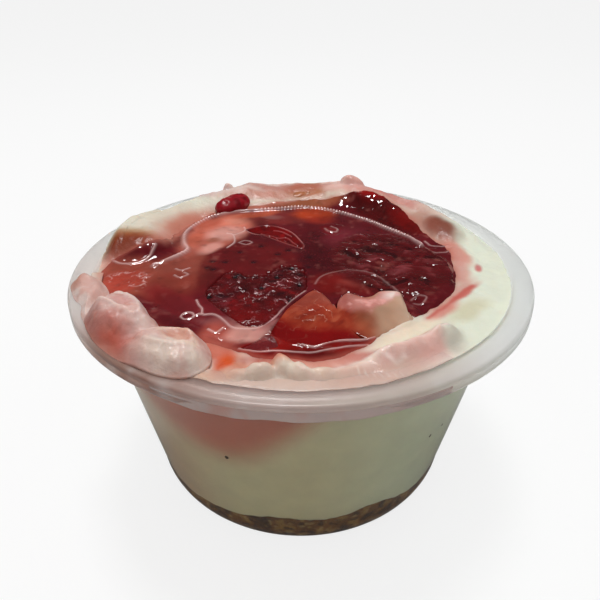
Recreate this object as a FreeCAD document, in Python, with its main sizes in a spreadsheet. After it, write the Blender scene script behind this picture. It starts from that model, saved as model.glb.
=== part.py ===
import FreeCAD, Part
import Sketcher
import math
import os
from collections import namedtuple

# A strawberry cheesecake dessert in a thin clear portion cup: a layer of biscuit crumbs, a
# layer of cheesecake, and a strawberry sauce with fruit and dabs of cream that was levelled
# by the lid. Millimetres, +Z up, origin on the cup's axis at the surface that it stands on.

doc = FreeCAD.newDocument("cheesecake_cup")
sheet = doc.addObject("Spreadsheet::Sheet", "Sizes")

SIZES = (
    # the moulded cup
    ("rim_diameter", 74.0, "outside of the flange"),
    ("cup_height", 39.1, "top of the flange above the table"),
    ("wall_thickness", 0.6, "one gauge of sheet all over"),
    ("mouth_diameter", 67.2, "inner edge of the flange"),
    ("shoulder_diameter", 65.4, "outside of the wall where it flares into the flange"),
    ("shoulder_drop", 2.1, "flare's foot below the top"),
    ("skirt_drop", 2.1, "turned-down edge of the flange"),
    ("edge_radius", 0.5, "rounded outer edge of the flange"),
    ("mouth_radius", 0.35, "rounded inner edge of the flange"),
    ("groove_drop", 0.8, "top of the snap groove below the flange"),
    ("groove_width", 0.45, "height of the snap groove"),
    ("groove_depth", 0.25, "depth of the snap groove"),
    ("corner_diameter", 52.9, "outside where the wall meets the rounded corner"),
    ("corner_height", 5.5, "top of the rounded corner"),
    ("corner_radius", 6.0, "rounded corner, outside"),
    ("foot_diameter", 45.6, "outside of the standing ring"),
    ("foot_width", 2.3, "standing ring"),
    ("push_up", 0.8, "middle of the base above the table"),
    # the layers
    ("crumb_level", 6.2, "mean top of the crumbs above the table"),
    ("crumb_swell", 1.3, "long waves of the crumb layer"),
    ("crumb_front_rise", 2.08, "crumbs stand higher at the front wall"),
    ("cake_drop", 0.6, "top of the cheesecake below the flange"),
    ("pool_drop", 0.9, "sauce outside the pressed disc, below the flange"),
    ("pool_depth", 18.5, "depth of the hollow that holds fruit and sauce"),
    ("lid_lift", 0.1, "pressed top above the flange"),
    ("press_diameter", 48.0, "disc that the lid's panel levelled"),
    ("ridge_width", 1.8, "sauce squeezed up round the disc"),
    ("ridge_lift", 0.25, "height of that ridge over the disc"),
    ("headroom", 8.0, "space over the flange that food may fill"),
    # the fruit
    ("left_berry_length", 20.0, "whole strawberry on the left"),
    ("left_berry_width", 17.0, ""),
    ("right_berry_length", 20.5, "whole strawberry on the right"),
    ("right_berry_width", 17.4, ""),
    ("slice_length", 12.0, "upright slice behind the left berry"),
    ("slice_width", 9.0, ""),
    ("slice_thickness", 4.2, ""),
    ("wedge_length", 15.0, "cut wedge at the front"),
    ("wedge_width", 14.0, ""),
    ("wedge_angle", 70.0, "degrees cut from the half berry"),
    ("covered_berry_length", 12.0, "small berry under the film of cream"),
    ("covered_berry_width", 10.5, ""),
    ("front_chip_length", 5.6, "small slice at the front edge"),
    ("front_chip_width", 3.8, ""),
    ("front_chip_thickness", 3.04, ""),
    ("back_chip_length", 8.96, "small wedge that leans up at the back left"),
    ("back_chip_width", 8.36, ""),
    ("back_chip_angle", 60.0, "degrees cut from the half berry"),
    ("rim_chip_length", 10.64, "thick slice at the back rim"),
    ("rim_chip_width", 7.22, ""),
    ("rim_chip_thickness", 4.94, ""),
)

for row, (alias, value, note) in enumerate(SIZES, start=1):
    sheet.set(f"A{row}", alias)
    sheet.set(f"B{row}", str(value))
    sheet.set(f"C{row}", note)
    sheet.setAlias(f"B{row}", alias)
doc.recompute()


def size(expression):
    """The value of an expression in the sheet's names, such as 'rim_diameter / 2'."""
    value = sheet.evalExpression(expression)
    return float(getattr(value, "Value", value))


def bound(expression):
    """The same expression as other objects of the document must write it."""
    for alias, _, _ in SIZES:
        expression = expression.replace(alias, f"Sizes.{alias}")
    return expression


# ---------------------------------------------------------------- turned bodies


def arc_centre(start, end, radius, side):
    """Centre of the arc of this radius through two points; side picks which of the two."""
    middle = (start + end) * 0.5
    half = (end - start).Length / 2
    across = FreeCAD.Vector(start.y - end.y, end.x - start.x, 0).normalize()
    return middle + across * side * math.sqrt(radius**2 - half**2)


def turned_body(name, outline):
    """A PartDesign body turned about Z. Each row of the outline is a corner (radius, height)
    and, where an arc runs on to the next corner, that arc's radius and side."""
    body = doc.addObject("PartDesign::Body", name)
    sketch = body.newObject("Sketcher::SketchObject", f"{name}_profile")
    plane = [part for part in body.Origin.OriginFeatures if part.Role == "XZ_Plane"][0]
    sketch.AttachmentSupport = [(plane, "")]
    sketch.MapMode = "FlatFace"
    corners = [FreeCAD.Vector(size(row[0]), size(row[1]), 0) for row in outline]
    count = len(outline)
    ends = []
    for index, row in enumerate(outline):
        start = corners[index]
        end = corners[(index + 1) % count]
        if len(row) == 2:
            sketch.addGeometry(Part.LineSegment(start, end))
            ends.append((1, 2))
            continue
        centre = arc_centre(start, end, size(row[2]), row[3])
        circle = Part.Circle(centre, FreeCAD.Vector(0, 0, 1), size(row[2]))
        from_start = math.atan2(start.y - centre.y, start.x - centre.x)
        from_end = math.atan2(end.y - centre.y, end.x - centre.x)
        if row[3] > 0:
            sketch.addGeometry(Part.ArcOfCircle(circle, from_start, from_end))
            ends.append((1, 2))
        else:
            sketch.addGeometry(Part.ArcOfCircle(circle, from_end, from_start))
            ends.append((2, 1))
    for index in range(count):
        following = (index + 1) % count
        constraint = Sketcher.Constraint(
            "Coincident", index, ends[index][1], following, ends[following][0]
        )
        sketch.addConstraint(constraint)
    for index, row in enumerate(outline):
        first = ends[index][0]
        pin_corner(sketch, index, first, "DistanceX", f"{name}_radius_{index}", row[0])
        pin_corner(sketch, index, first, "DistanceY", f"{name}_height_{index}", row[1])
        if len(row) > 2:
            number = sketch.addConstraint(Sketcher.Constraint("Radius", index, size(row[2])))
            sketch.renameConstraint(number, f"{name}_arc_{index}")
            sketch.setExpression(f"Constraints.{name}_arc_{index}", bound(row[2]))
    turn = body.newObject("PartDesign::Revolution", f"{name}_turn")
    turn.Profile = sketch
    turn.ReferenceAxis = (sketch, ["V_Axis"])
    turn.Angle = 360
    body.Tip = turn
    return body


def pin_corner(sketch, index, corner, kind, name, expression):
    """Holds one coordinate of a sketch corner to an expression of the sheet."""
    axis = {"DistanceX": -2, "DistanceY": -1}[kind]
    if expression == "0":
        sketch.addConstraint(Sketcher.Constraint("PointOnObject", index, corner, axis))
        return
    constraint = Sketcher.Constraint(kind, -1, 1, index, corner, size(expression))
    number = sketch.addConstraint(constraint)
    sketch.renameConstraint(number, name)
    sketch.setExpression(f"Constraints.{name}", bound(expression))


INNER_WALL = (
    ("0", "push_up + wall_thickness"),
    ("foot_diameter / 2 - foot_width + wall_thickness / 2", "push_up + wall_thickness"),
    ("foot_diameter / 2 - foot_width + push_up + wall_thickness / 2", "wall_thickness"),
    (
        "foot_diameter / 2 - wall_thickness / 2",
        "wall_thickness",
        "corner_radius - wall_thickness",
        1,
    ),
    ("corner_diameter / 2 - wall_thickness", "corner_height"),
    ("shoulder_diameter / 2 - wall_thickness", "cup_height - shoulder_drop"),
    ("mouth_diameter / 2", "cup_height - mouth_radius", "mouth_radius", -1),
)

FLANGE_TOP = (("mouth_diameter / 2 + mouth_radius", "cup_height"),)

SKIRT = (
    ("rim_diameter / 2 - edge_radius", "cup_height", "edge_radius", -1),
    ("rim_diameter / 2", "cup_height - edge_radius"),
    ("rim_diameter / 2", "cup_height - groove_drop"),
    ("rim_diameter / 2 - groove_depth", "cup_height - groove_drop"),
    ("rim_diameter / 2 - groove_depth", "cup_height - groove_drop - groove_width"),
    ("rim_diameter / 2", "cup_height - groove_drop - groove_width"),
    ("rim_diameter / 2", "cup_height - skirt_drop"),
    ("rim_diameter / 2 - wall_thickness", "cup_height - skirt_drop"),
    ("rim_diameter / 2 - wall_thickness", "cup_height - wall_thickness"),
    ("mouth_diameter / 2 + wall_thickness", "cup_height - wall_thickness"),
)

OUTER_WALL = (
    ("shoulder_diameter / 2", "cup_height - shoulder_drop"),
    ("corner_diameter / 2", "corner_height", "corner_radius", -1),
    ("foot_diameter / 2", "0"),
    ("foot_diameter / 2 - foot_width + push_up", "0"),
    ("foot_diameter / 2 - foot_width", "push_up"),
    ("0", "push_up"),
)

OVERHEAD = (
    ("rim_diameter / 2", "cup_height"),
    ("rim_diameter / 2", "cup_height + headroom"),
    ("0", "cup_height + headroom"),
)

PRESSED_DISC = (
    ("0", "cup_height - 3 * pool_drop"),
    ("press_diameter / 2", "cup_height - 3 * pool_drop"),
    ("press_diameter / 2", "cup_height - 2 * pool_drop"),
    ("press_diameter / 2 - ridge_width / 3", "cup_height + lid_lift + ridge_lift"),
    ("press_diameter / 2 - 2 * ridge_width / 3", "cup_height + lid_lift + ridge_lift"),
    ("press_diameter / 2 - ridge_width", "cup_height + lid_lift"),
    ("0", "cup_height + lid_lift"),
)


# ---------------------------------------------------------------- soft and grown forms


def formed(name, shape):
    """A free form whose shape is worked out below from the sheet's sizes."""
    feature = doc.addObject("Part::Feature", name)
    feature.Shape = shape
    return feature


def closed_outline(radius_at, level, centre, count=12):
    """A smooth closed curve about centre at one height; radius_at gives (x, y) reach."""
    points = []
    for step in range(count):
        angle = 2 * math.pi * step / count
        x, y = radius_at(angle)
        points.append(FreeCAD.Vector(centre.x + x, centre.y + y, level))
    curve = Part.BSplineCurve()
    curve.interpolate(Points=points, PeriodicFlag=True)
    return Part.Wire([curve.toShape()])


# Height share of each outline of a heap, and how much of the full outline it keeps.
HEAP_STEPS = ((0.0, 1.0), (0.4, 0.92), (0.72, 0.7), (0.92, 0.4), (1.0, 0.16))
FOOT_SHARE = 0.8  # the bedded foot's outline against the full one


def heap(place, row):
    """A soft heap of cream: outlines that close in towards a rounded top, lofted. place is the
    middle of its foot."""
    heading = math.radians(row.turn)

    def outline(share, level, shift):
        def reach(angle):
            swell = 1 + row.ripple * math.cos(3 * angle + heading)
            along = share * swell * row.length / 2 * math.cos(angle)
            across = share * swell * row.width / 2 * math.sin(angle)
            x = along * math.cos(heading) - across * math.sin(heading)
            y = along * math.sin(heading) + across * math.cos(heading)
            return x, y

        middle = FreeCAD.Vector(place.x + shift * row.lean[0], place.y + shift * row.lean[1], 0)
        return closed_outline(reach, level, middle)

    wires = [outline(FOOT_SHARE, place.z - row.sink, 0.0)]
    for climb, share in HEAP_STEPS:
        wires.append(outline(share, place.z + climb * row.height, climb**2))
    return Part.makeLoft(wires, True, False)


def berry(length, width):
    """A hulled strawberry turned about +X: the cut stem end is a small flat at the origin, and
    the blunt tip is at x = length."""
    stem = FreeCAD.Vector(0, 0, 0)
    tip = FreeCAD.Vector(length, 0, 0)
    flank = (
        FreeCAD.Vector(0, 0.16 * width, 0),
        FreeCAD.Vector(0.08 * length, 0.36 * width, 0),
        FreeCAD.Vector(0.32 * length, 0.5 * width, 0),
        FreeCAD.Vector(0.68 * length, 0.37 * width, 0),
        FreeCAD.Vector(0.93 * length, 0.18 * width, 0),
        FreeCAD.Vector(length, 0.05 * width, 0),
    )
    curve = Part.BSplineCurve()
    curve.interpolate(Points=list(flank))
    edges = [
        Part.LineSegment(stem, flank[0]).toShape(),
        curve.toShape(),
        Part.LineSegment(flank[-1], tip).toShape(),
        Part.LineSegment(tip, stem).toShape(),
    ]
    face = Part.Face(Part.Wire(edges))
    return face.revolve(stem, FreeCAD.Vector(1, 0, 0), 360)


def laid(shape, start, bearing, dip):
    """The shape with its +X turned to a compass bearing and dipped below level."""
    turn = FreeCAD.Rotation(bearing, dip, 0)
    shape.Placement = FreeCAD.Placement(start, turn)
    return shape


def block(low, high):
    """An upright box between two corners, used to trim a form flat."""
    span = high - low
    return Part.makeBox(span.x, span.y, span.z, low)


def berry_slice(length, width, thickness):
    """A lengthways slice of a strawberry, standing on edge along +X."""
    whole = berry(length, width)
    half = thickness / 2
    low = FreeCAD.Vector(-1, -half, -width)
    high = FreeCAD.Vector(length + 1, half, width)
    return whole.common(block(low, high))


def berry_wedge(length, width, cut_angle):
    """A strawberry cut lengthways twice: the piece between two planes through its core."""
    whole = berry(length, width)
    lower = block(FreeCAD.Vector(-1, -width, -width), FreeCAD.Vector(length + 1, width, 0))
    upper = lower.copy()
    upper.rotate(FreeCAD.Vector(0, 0, 0), FreeCAD.Vector(1, 0, 0), 180 + cut_angle)
    return whole.cut(lower).cut(upper)


def spot(bearing, inset, level):
    """A place by its bearing from +X and its distance in from the mouth's edge."""
    out = size("mouth_diameter / 2") - inset
    angle = math.radians(bearing)
    return FreeCAD.Vector(out * math.cos(angle), out * math.sin(angle), level)


# ---------------------------------------------------------------- layers

CRUMB_GRID = 9
WAVE_ACROSS = (4.2, 0.6)  # long waves of the crumbs' top along X: how many, where they start
WAVE_ALONG = (3.4, -0.4)  # the same along Y
FRONT_PEAK = 0.1  # where along X the crumbs stand highest at the front
FRONT_FALL = 6.0  # how fast that rise falls away to the sides


def crumb_top():
    """The crumb layer's uneven top as a surface, drawn down into a solid."""
    reach = size("corner_diameter / 2") + 4
    level = size("crumb_level")
    swell = size("crumb_swell")
    front_rise = size("crumb_front_rise")
    step = 2 * reach / (CRUMB_GRID - 1)
    rows = []
    for i in range(CRUMB_GRID):
        x = -reach + i * step
        row = []
        for j in range(CRUMB_GRID):
            y = -reach + j * step
            across = math.sin(WAVE_ACROSS[0] * x / reach + WAVE_ACROSS[1])
            wave = across * math.cos(WAVE_ALONG[0] * y / reach + WAVE_ALONG[1])
            front = math.exp(-((x / reach - FRONT_PEAK) ** 2) * FRONT_FALL) * max(0.0, -y / reach)
            row.append(FreeCAD.Vector(x, y, level + swell / 2 * wave + front_rise * front))
        rows.append(row)
    surface = Part.BSplineSurface()
    surface.interpolate(rows)
    return surface.toShape().extrude(FreeCAD.Vector(0, 0, -2 * level - 2 * swell))


# How far in from the mouth's edge the sauce ends, every 30 degrees from +X round by +Y.
SHORE_INSETS = (8.6, 8.9, 3.6, 4.4, 5.2, 5.6, 2.8, 3.8, 8.0, 6.6, 9.0, 9.1)
HOLLOW_STEPS = ((0.0, 1.0), (0.3, 0.98), (0.6, 0.92), (0.85, 0.76), (1.0, 0.45))


def sauce_hollow():
    """The hollow in the cheesecake that holds the sauce and the fruit: outlines that close in
    downwards, and stand a little proud of the cheesecake at the top."""
    mouth = size("mouth_diameter / 2")
    top = size("cup_height")
    depth = size("pool_depth")
    count = len(SHORE_INSETS)

    def outline(level, share):
        def reach(angle):
            out = mouth - SHORE_INSETS[round(angle / (2 * math.pi) * count) % count]
            return share * out * math.cos(angle), share * out * math.sin(angle)

        return closed_outline(reach, level, FreeCAD.Vector(0, 0, 0), count)

    wires = [outline(top + 1, 1.0)]
    wires += [outline(top - drop * depth, share) for drop, share in HOLLOW_STEPS]
    return Part.makeLoft(wires, True, False)


def under_level(level):
    """Everything below one height, as wide as the cup."""
    reach = size("rim_diameter")
    return block(FreeCAD.Vector(-reach, -reach, -1), FreeCAD.Vector(reach, reach, level))


# ---------------------------------------------------------------- fruit and cream


def pressed(shape):
    """A piece with its top flat under the lid."""
    return shape.common(under_level(size("cup_height + lid_lift")))


# How a piece of fruit lies: the bearing of its stem end and how far in from the mouth's edge
# and how deep under the lid that end is, then the bearing of its length and its dip.
Bed = namedtuple("Bed", "bearing inset depth turn dip")

LEFT_SET = 0.35  # share of its width that a whole berry's stem end lies under the lid
RIGHT_SET = 0.39

FRUIT_BEDS = {
    "strawberry_left": Bed(142, 23.0, size("left_berry_width") * LEFT_SET, -92, 13),
    "strawberry_right": Bed(37, 16.0, size("right_berry_width") * RIGHT_SET, -87, 9),
    "strawberry_slice": Bed(95, 19.8, 4.2, -140, 0),
    "strawberry_covered": Bed(-15, 23.4, 5.4, -118, 6),
    "strawberry_wedge": Bed(-105, 21.6, 4.0, -66, 14),
    "strawberry_chip_front": Bed(-107, 8.2, 1.9, 8, 0),
    "strawberry_chip_back": Bed(125, 9.4, 2.4, 68, -16),
    "strawberry_chip_rim": Bed(99, 5.2, 1.6, 8, 4),
}
STANDS_PROUD = ("strawberry_chip_back", "strawberry_chip_rim")


def sizes_of(piece, *measures):
    """A piece's named sizes, such as its length and width, from the sheet."""
    return [size(f"{piece}_{measure}") for measure in measures]


def fruit_forms():
    """The pieces of strawberry, each where it lies in the sauce, from the largest down."""
    slab = ("length", "width", "thickness")
    shapes = {
        "strawberry_left": berry(*sizes_of("left_berry", "length", "width")),
        "strawberry_right": berry(*sizes_of("right_berry", "length", "width")),
        "strawberry_slice": berry_slice(*sizes_of("slice", *slab)),
        "strawberry_covered": berry(*sizes_of("covered_berry", "length", "width")),
        "strawberry_wedge": berry_wedge(*sizes_of("wedge", "length", "width", "angle")),
        "strawberry_chip_front": berry_slice(*sizes_of("front_chip", *slab)),
        "strawberry_chip_back": berry_wedge(*sizes_of("back_chip", "length", "width", "angle")),
        "strawberry_chip_rim": berry_slice(*sizes_of("rim_chip", *slab)),
    }
    forms = []
    for name, shape in shapes.items():
        bed = FRUIT_BEDS[name]
        stem = spot(bed.bearing, bed.inset, size("cup_height + lid_lift") - bed.depth)
        lying = laid(shape, stem, bed.turn, bed.dip)
        forms.append((name, lying if name in STANDS_PROUD else pressed(lying)))
    return forms


# A heap of cream: the bearing of its middle, how far in from the mouth's edge it is and how far
# its foot is under the flange, the bearing of its length, its size, how deep it is bedded, the
# ripple of its outline and how far its top leans along X and Y.
Heap = namedtuple("Heap", "bearing inset foot turn length width height sink ripple lean")

CREAM_HEAPS = {
    "cream_block": Heap(-53, 15.6, 2.4, -8, 11.5, 9.5, 3.0, 1.6, 0.05, (0.0, 0.0)),
    "cream_fold": Heap(-57, 4.6, 0.7, 26, 14.0, 6.0, 2.0, 0.4, 0.06, (0.6, 0.8)),
    "cream_front": Heap(-91, 4.2, 0.8, 0, 15.0, 5.6, 1.9, 0.5, 0.08, (0.0, 0.4)),
    "cream_roll_left": Heap(-139.6, 3.8, 1.2, -40, 13.0, 9.6, 4.9, 1.6, 0.05, (0.6, 1.2)),
    "cream_roll_front": Heap(-118, 4.6, 1.2, -24, 12.5, 8.0, 4.0, 1.2, 0.05, (0.3, 0.8)),
    "cream_rim_lump": Heap(191, 1.9, 0.4, 80, 7.2, 5.6, 1.9, 0.8, 0.06, (0.4, 0.0)),
    "cream_bank_left": Heap(155, 5.2, 1.2, 68, 22.0, 8.6, 3.0, 1.4, 0.07, (-0.8, 0.6)),
    "cream_ridge_back": Heap(110, 2.9, 1.0, 20, 21.0, 6.6, 3.7, 1.2, 0.06, (0.4, 0.8)),
    "cream_bank_right": Heap(62, 3.6, 1.0, -28, 25.0, 7.4, 4.9, 1.2, 0.07, (-0.6, 0.6)),
    "cream_knob": Heap(24, 4.6, 0.9, -62, 10.5, 6.0, 2.6, 1.2, 0.05, (0.0, 0.0)),
}
LEVELLED_CREAM = ("cream_block",)


def cream_forms():
    """The dabs and rolls of cream, each heaped where the spoon or the lid left it."""
    forms = []
    for name, row in CREAM_HEAPS.items():
        foot = spot(row.bearing, row.inset, size("cup_height") - row.foot)
        shape = heap(foot, row)
        forms.append((name, pressed(shape) if name in LEVELLED_CREAM else shape))
    return forms


# ---------------------------------------------------------------- assembly


def meeting(name, base, tool):
    """What two objects share, as a boolean of the document."""
    common = doc.addObject("Part::Common", name)
    common.Base = base
    common.Tool = tool
    return common


def less(name, base, tool):
    """One object with another cut out of it, as a boolean of the document."""
    cut = doc.addObject("Part::Cut", name)
    cut.Base = base
    cut.Tool = tool
    return cut


def cut_round(name, base, neighbours):
    """The object with each neighbour that reaches into it cut away in turn."""
    doc.recompute()
    for neighbour in neighbours:
        if not base.Shape.BoundBox.intersect(neighbour.Shape.BoundBox):
            continue
        if base.Shape.common(neighbour.Shape).Volume > 1e-4:
            base = less(f"{name}_by_{neighbour.Name}", base, neighbour)
            doc.recompute()
    base.Label = name
    return base


cup = turned_body("cup", INNER_WALL + FLANGE_TOP + SKIRT + OUTER_WALL)
room = turned_body("food_room", INNER_WALL + FLANGE_TOP + OVERHEAD)
disc = turned_body("pressed_disc", PRESSED_DISC)
doc.recompute()
cup.Label = "cup"

slab = formed("cake_slab", under_level(size("cup_height - cake_drop")))
hollow = formed("sauce_hollow", sauce_hollow())
crumbs = formed("crumb_form", crumb_top())
biscuit = meeting("biscuit_in_cup", crumbs, room)
cake_fill = meeting("cake_fill", room, slab)
cake_block = less("cake_hollowed", cake_fill, hollow)
cheesecake = less("cake_on_crumbs", cake_block, crumbs)
open_space = less("space_over_cake", room, cake_block)
under = formed("pool_level", under_level(size("cup_height - pool_drop")))
pool = meeting("pool", hollow, under)
doc.recompute()
biscuit.Label = "biscuit_base"
cheesecake.Label = "cheesecake"

nodes = [cup]
toppings = []
for name, shape in list(fruit_forms()) + cream_forms():
    raw = formed(f"{name}_form", shape)
    kept = meeting(f"{name}_in_room", raw, open_space)
    piece = cut_round(name, kept, toppings)
    toppings.append(piece)
nodes += toppings

sauce_all = doc.addObject("Part::Fuse", "sauce_all")
sauce_all.Base = pool
sauce_all.Tool = meeting("disc_in_hollow", disc, hollow)
sauce = cut_round("strawberry_sauce", sauce_all, toppings)
nodes += [sauce, cheesecake, biscuit]

# ---------------------------------------------------------------- checks and files

for item in doc.Objects:
    faults = [state for state in item.State if state in ("Invalid", "Error")]
    if faults:
        raise RuntimeError(f"{item.Label} failed: {faults}")

os.makedirs("parts", exist_ok=True)
for node in nodes:
    shape = node.Shape
    if shape.isNull() or not shape.isValid() or not shape.Solids:
        raise RuntimeError(f"{node.Label} has no sound solid")
    shape.exportStep(f"parts/{node.Label}.step")
    print(f"{node.Label:24s} {len(shape.Solids)} solid(s) {shape.Volume:9.1f} mm3")
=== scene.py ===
import math

import bmesh
import bpy
import numpy as np
from mathutils import Euler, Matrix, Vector


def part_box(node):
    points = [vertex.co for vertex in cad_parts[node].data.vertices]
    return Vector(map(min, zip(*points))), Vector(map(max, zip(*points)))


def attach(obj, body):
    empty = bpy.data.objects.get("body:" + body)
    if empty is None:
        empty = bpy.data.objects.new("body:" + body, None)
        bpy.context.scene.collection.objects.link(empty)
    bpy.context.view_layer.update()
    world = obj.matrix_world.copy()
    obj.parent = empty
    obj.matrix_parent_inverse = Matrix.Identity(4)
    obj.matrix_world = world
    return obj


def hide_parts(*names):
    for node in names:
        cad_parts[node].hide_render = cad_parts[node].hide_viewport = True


# A strawberry cheesecake dessert in a clear portion cup. Lengths below are millimetres on the
# cup's axis, heights are over the table, and bearings are degrees from +X round by +Y.

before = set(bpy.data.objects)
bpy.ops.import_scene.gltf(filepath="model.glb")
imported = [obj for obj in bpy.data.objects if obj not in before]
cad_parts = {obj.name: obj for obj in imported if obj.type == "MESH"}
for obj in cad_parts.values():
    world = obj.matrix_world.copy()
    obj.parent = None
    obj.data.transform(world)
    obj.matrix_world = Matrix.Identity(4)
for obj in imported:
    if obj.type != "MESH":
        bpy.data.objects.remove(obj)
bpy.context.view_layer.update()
MM = 0.001

cup_low, cup_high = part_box("cup")
RIM = (cup_high[0] - cup_low[0]) / 2 / MM  # outside of the flange
TOP = cup_high[2] / MM  # top of the flange
cake_low, cake_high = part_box("cheesecake")
MOUTH = (cake_high[0] - cake_low[0]) / 2 / MM + 0.2  # inside edge of the flange
PRESSED = TOP + 0.1  # where the lid levelled the food
WALL = 0.6  # gauge of the cup's sheet
BITE = 0.12  # how far the food reaches into the wall, so that no gap shows


# ---------------------------------------------------------------- arithmetic on points


def smooth(low, high, value):
    """0 below low, 1 above high, and an easy curve between."""
    share = np.clip((value - low) / (high - low), 0.0, 1.0)
    return share * share * (3 - 2 * share)


def bell(distance, width):
    """1 at no distance, falling away within about twice the width."""
    return np.exp(-((distance / width) ** 2))


LATTICE = np.random.default_rng(11).random((32, 32, 32))


def cloud(x, y, z, grain, octaves=3, keep=0.5):
    """Seeded soft noise from about -1 to 1; grain is the size of its largest swell."""
    total = np.zeros(np.broadcast(x, y, z).shape)
    size = 1.0
    most = 0.0
    for octave in range(octaves):
        at = [np.asarray(value) / (grain * keep**octave) + 17.3 * octave for value in (x, y, z)]
        low = [np.floor(value).astype(int) for value in at]
        part = [value - floor for value, floor in zip(at, low)]
        part = [value * value * (3 - 2 * value) for value in part]
        corner = 0.0
        for i in (0, 1):
            for j in (0, 1):
                for k in (0, 1):
                    weight = (
                        (part[0] if i else 1 - part[0])
                        * (part[1] if j else 1 - part[1])
                        * (part[2] if k else 1 - part[2])
                    )
                    lattice = LATTICE[(low[0] + i) % 32, (low[1] + j) % 32, (low[2] + k) % 32]
                    corner = corner + weight * lattice
        total += size * (corner * 2 - 1)
        most += size
        size *= keep
    return total / most


def ring_curve(rows):
    """A smooth closed curve of reach by bearing, from rows of (bearing, reach)."""
    bearings = np.array([row[0] for row in rows], float)
    reaches = np.array([row[1] for row in rows], float)
    order = np.argsort(bearings)
    bearings = bearings[order]
    reaches = reaches[order]
    fine = np.arange(0, 360.0, 1.0)
    wide = np.concatenate([bearings - 360, bearings, bearings + 360])
    tall = np.concatenate([reaches, reaches, reaches])
    plain = np.interp(fine, wide, tall)
    kernel = np.exp(-((np.arange(-12, 13) / 4.0) ** 2))
    kernel /= kernel.sum()
    eased = np.convolve(np.concatenate([plain[-12:], plain, plain[:12]]), kernel, "valid")

    def reach(x, y):
        bearing = compass(x, y)
        return np.interp(bearing, np.append(fine, 360.0), np.append(eased, eased[0]))

    return reach


def oval(x, y, spot, half_length, half_width, turn):
    """1 at the rim of a turned oval, 0 at its middle."""
    heading = math.radians(turn)
    dx = x - spot[0]
    dy = y - spot[1]
    along = dx * math.cos(heading) + dy * math.sin(heading)
    across = -dx * math.sin(heading) + dy * math.cos(heading)
    return np.sqrt((along / half_length) ** 2 + (across / half_width) ** 2)


def near_line(x, y, points):
    """Distance to a run of straight stretches."""
    best = np.full(np.broadcast(x, y).shape, 1e9)
    for (ax, ay), (bx, by) in zip(points, points[1:]):
        length = (bx - ax) ** 2 + (by - ay) ** 2
        share = np.clip(((x - ax) * (bx - ax) + (y - ay) * (by - ay)) / length, 0, 1)
        best = np.minimum(best, np.hypot(x - ax - share * (bx - ax), y - ay - share * (by - ay)))
    return best


def tone(red, green, blue):
    """A colour as it looks on paper, 0 to 255, as the light that it sends back."""
    share = np.array([red, green, blue]) / 255.0
    return np.where(share <= 0.04045, share / 12.92, ((share + 0.055) / 1.055) ** 2.4)


def stain(colour, tint, amount):
    """The colour washed with a tint where amount is 1."""
    amount = np.clip(np.asarray(amount), 0, 1)[..., None]
    return colour * (1 - amount) + tint * amount


def washed(colour, rows):
    """The colour washed with each (tint, amount) in turn."""
    for tint, amount in rows:
        colour = stain(colour, tint, amount)
    return colour


def plain(tint, shape):
    """One colour at every place of a shape of points."""
    return np.broadcast_to(tint, shape).copy()


def compass(x, y):
    """The bearing of each place, from 0 to 360 degrees."""
    return np.degrees(np.arctan2(y, x)) % 360


def about_axis(reach, bearing):
    """The places at a reach from the cup's axis, on a bearing in radians."""
    return reach * np.cos(bearing), reach * np.sin(bearing)


def eased(before, start, end, after, steps):
    """Points from start to just short of end, on a curve led by their neighbours."""
    share = np.linspace(0, 1, steps, endpoint=False)[:, None]
    turn = (end - before) * share + (2 * before - 5 * start + 4 * end - after) * share**2
    turn = turn + (3 * start - before - 3 * end + after) * share**3
    return start + 0.5 * turn


def rounded_run(points, steps=6):
    """The same run of points with eased corners."""
    knots = np.array([points[0], *points, points[-1]], float)
    run = [eased(*four, steps) for four in zip(knots, knots[1:], knots[2:], knots[3:])]
    return np.vstack([*run, knots[-1:]])


def closed_run(points, steps=6):
    """A closed outline with eased corners."""
    knots = np.array([points[-1], *points, points[0], points[1]], float)
    run = [eased(*four, steps) for four in zip(knots, knots[1:], knots[2:], knots[3:])]
    return np.vstack(run)


def line_share(x, y, points, width):
    """1 along a run of points with eased corners, falling away within about twice the width."""
    x, y = np.broadcast_arrays(np.asarray(x, float), np.asarray(y, float))
    run = rounded_run(points)
    low = run.min(axis=0) - 3 * width
    high = run.max(axis=0) + 3 * width
    near = (x > low[0]) & (x < high[0]) & (y > low[1]) & (y < high[1])
    share = np.zeros(x.shape)
    share[near] = bell(near_line(x[near], y[near], run), width)
    return share


def inside_outline(x, y, outline):
    """Distance in from a closed outline, below 0 outside it."""
    x, y = np.broadcast_arrays(np.asarray(x, float), np.asarray(y, float))
    within = np.zeros(x.shape, bool)
    ahead = np.roll(outline, -1, axis=0)
    for (ax, ay), (bx, by) in zip(outline, ahead):
        crosses = (ay > y) != (by > y)
        within ^= crosses & (x < (bx - ax) * (y - ay) / (by - ay + 1e-12) + ax)
    away = near_line(x, y, np.vstack([outline, outline[:1]]))
    return np.where(within, away, -away)


def wandered(x, y, reach=0.8, grain=3.5):
    """The same places moved about a little, so that a patch has a natural edge."""
    return x + reach * cloud(x, y, 31, grain, 3), y + reach * cloud(x, y, 47, grain, 3)


def painted(x, y, colour, patches):
    """The colour with soft-edged oval patches laid over it, one after another. Each patch is
    (tint, amount, spot, half length, half width, turn, softness)."""
    wx, wy = wandered(x, y)
    for tint, amount, spot, half_length, half_width, turn, softness in patches:
        edge = oval(wx, wy, spot, half_length, half_width, turn)
        colour = stain(colour, tint, amount * (1 - smooth(1 - softness, 1 + softness, edge)))
    return colour


# ---------------------------------------------------------------- meshes


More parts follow.
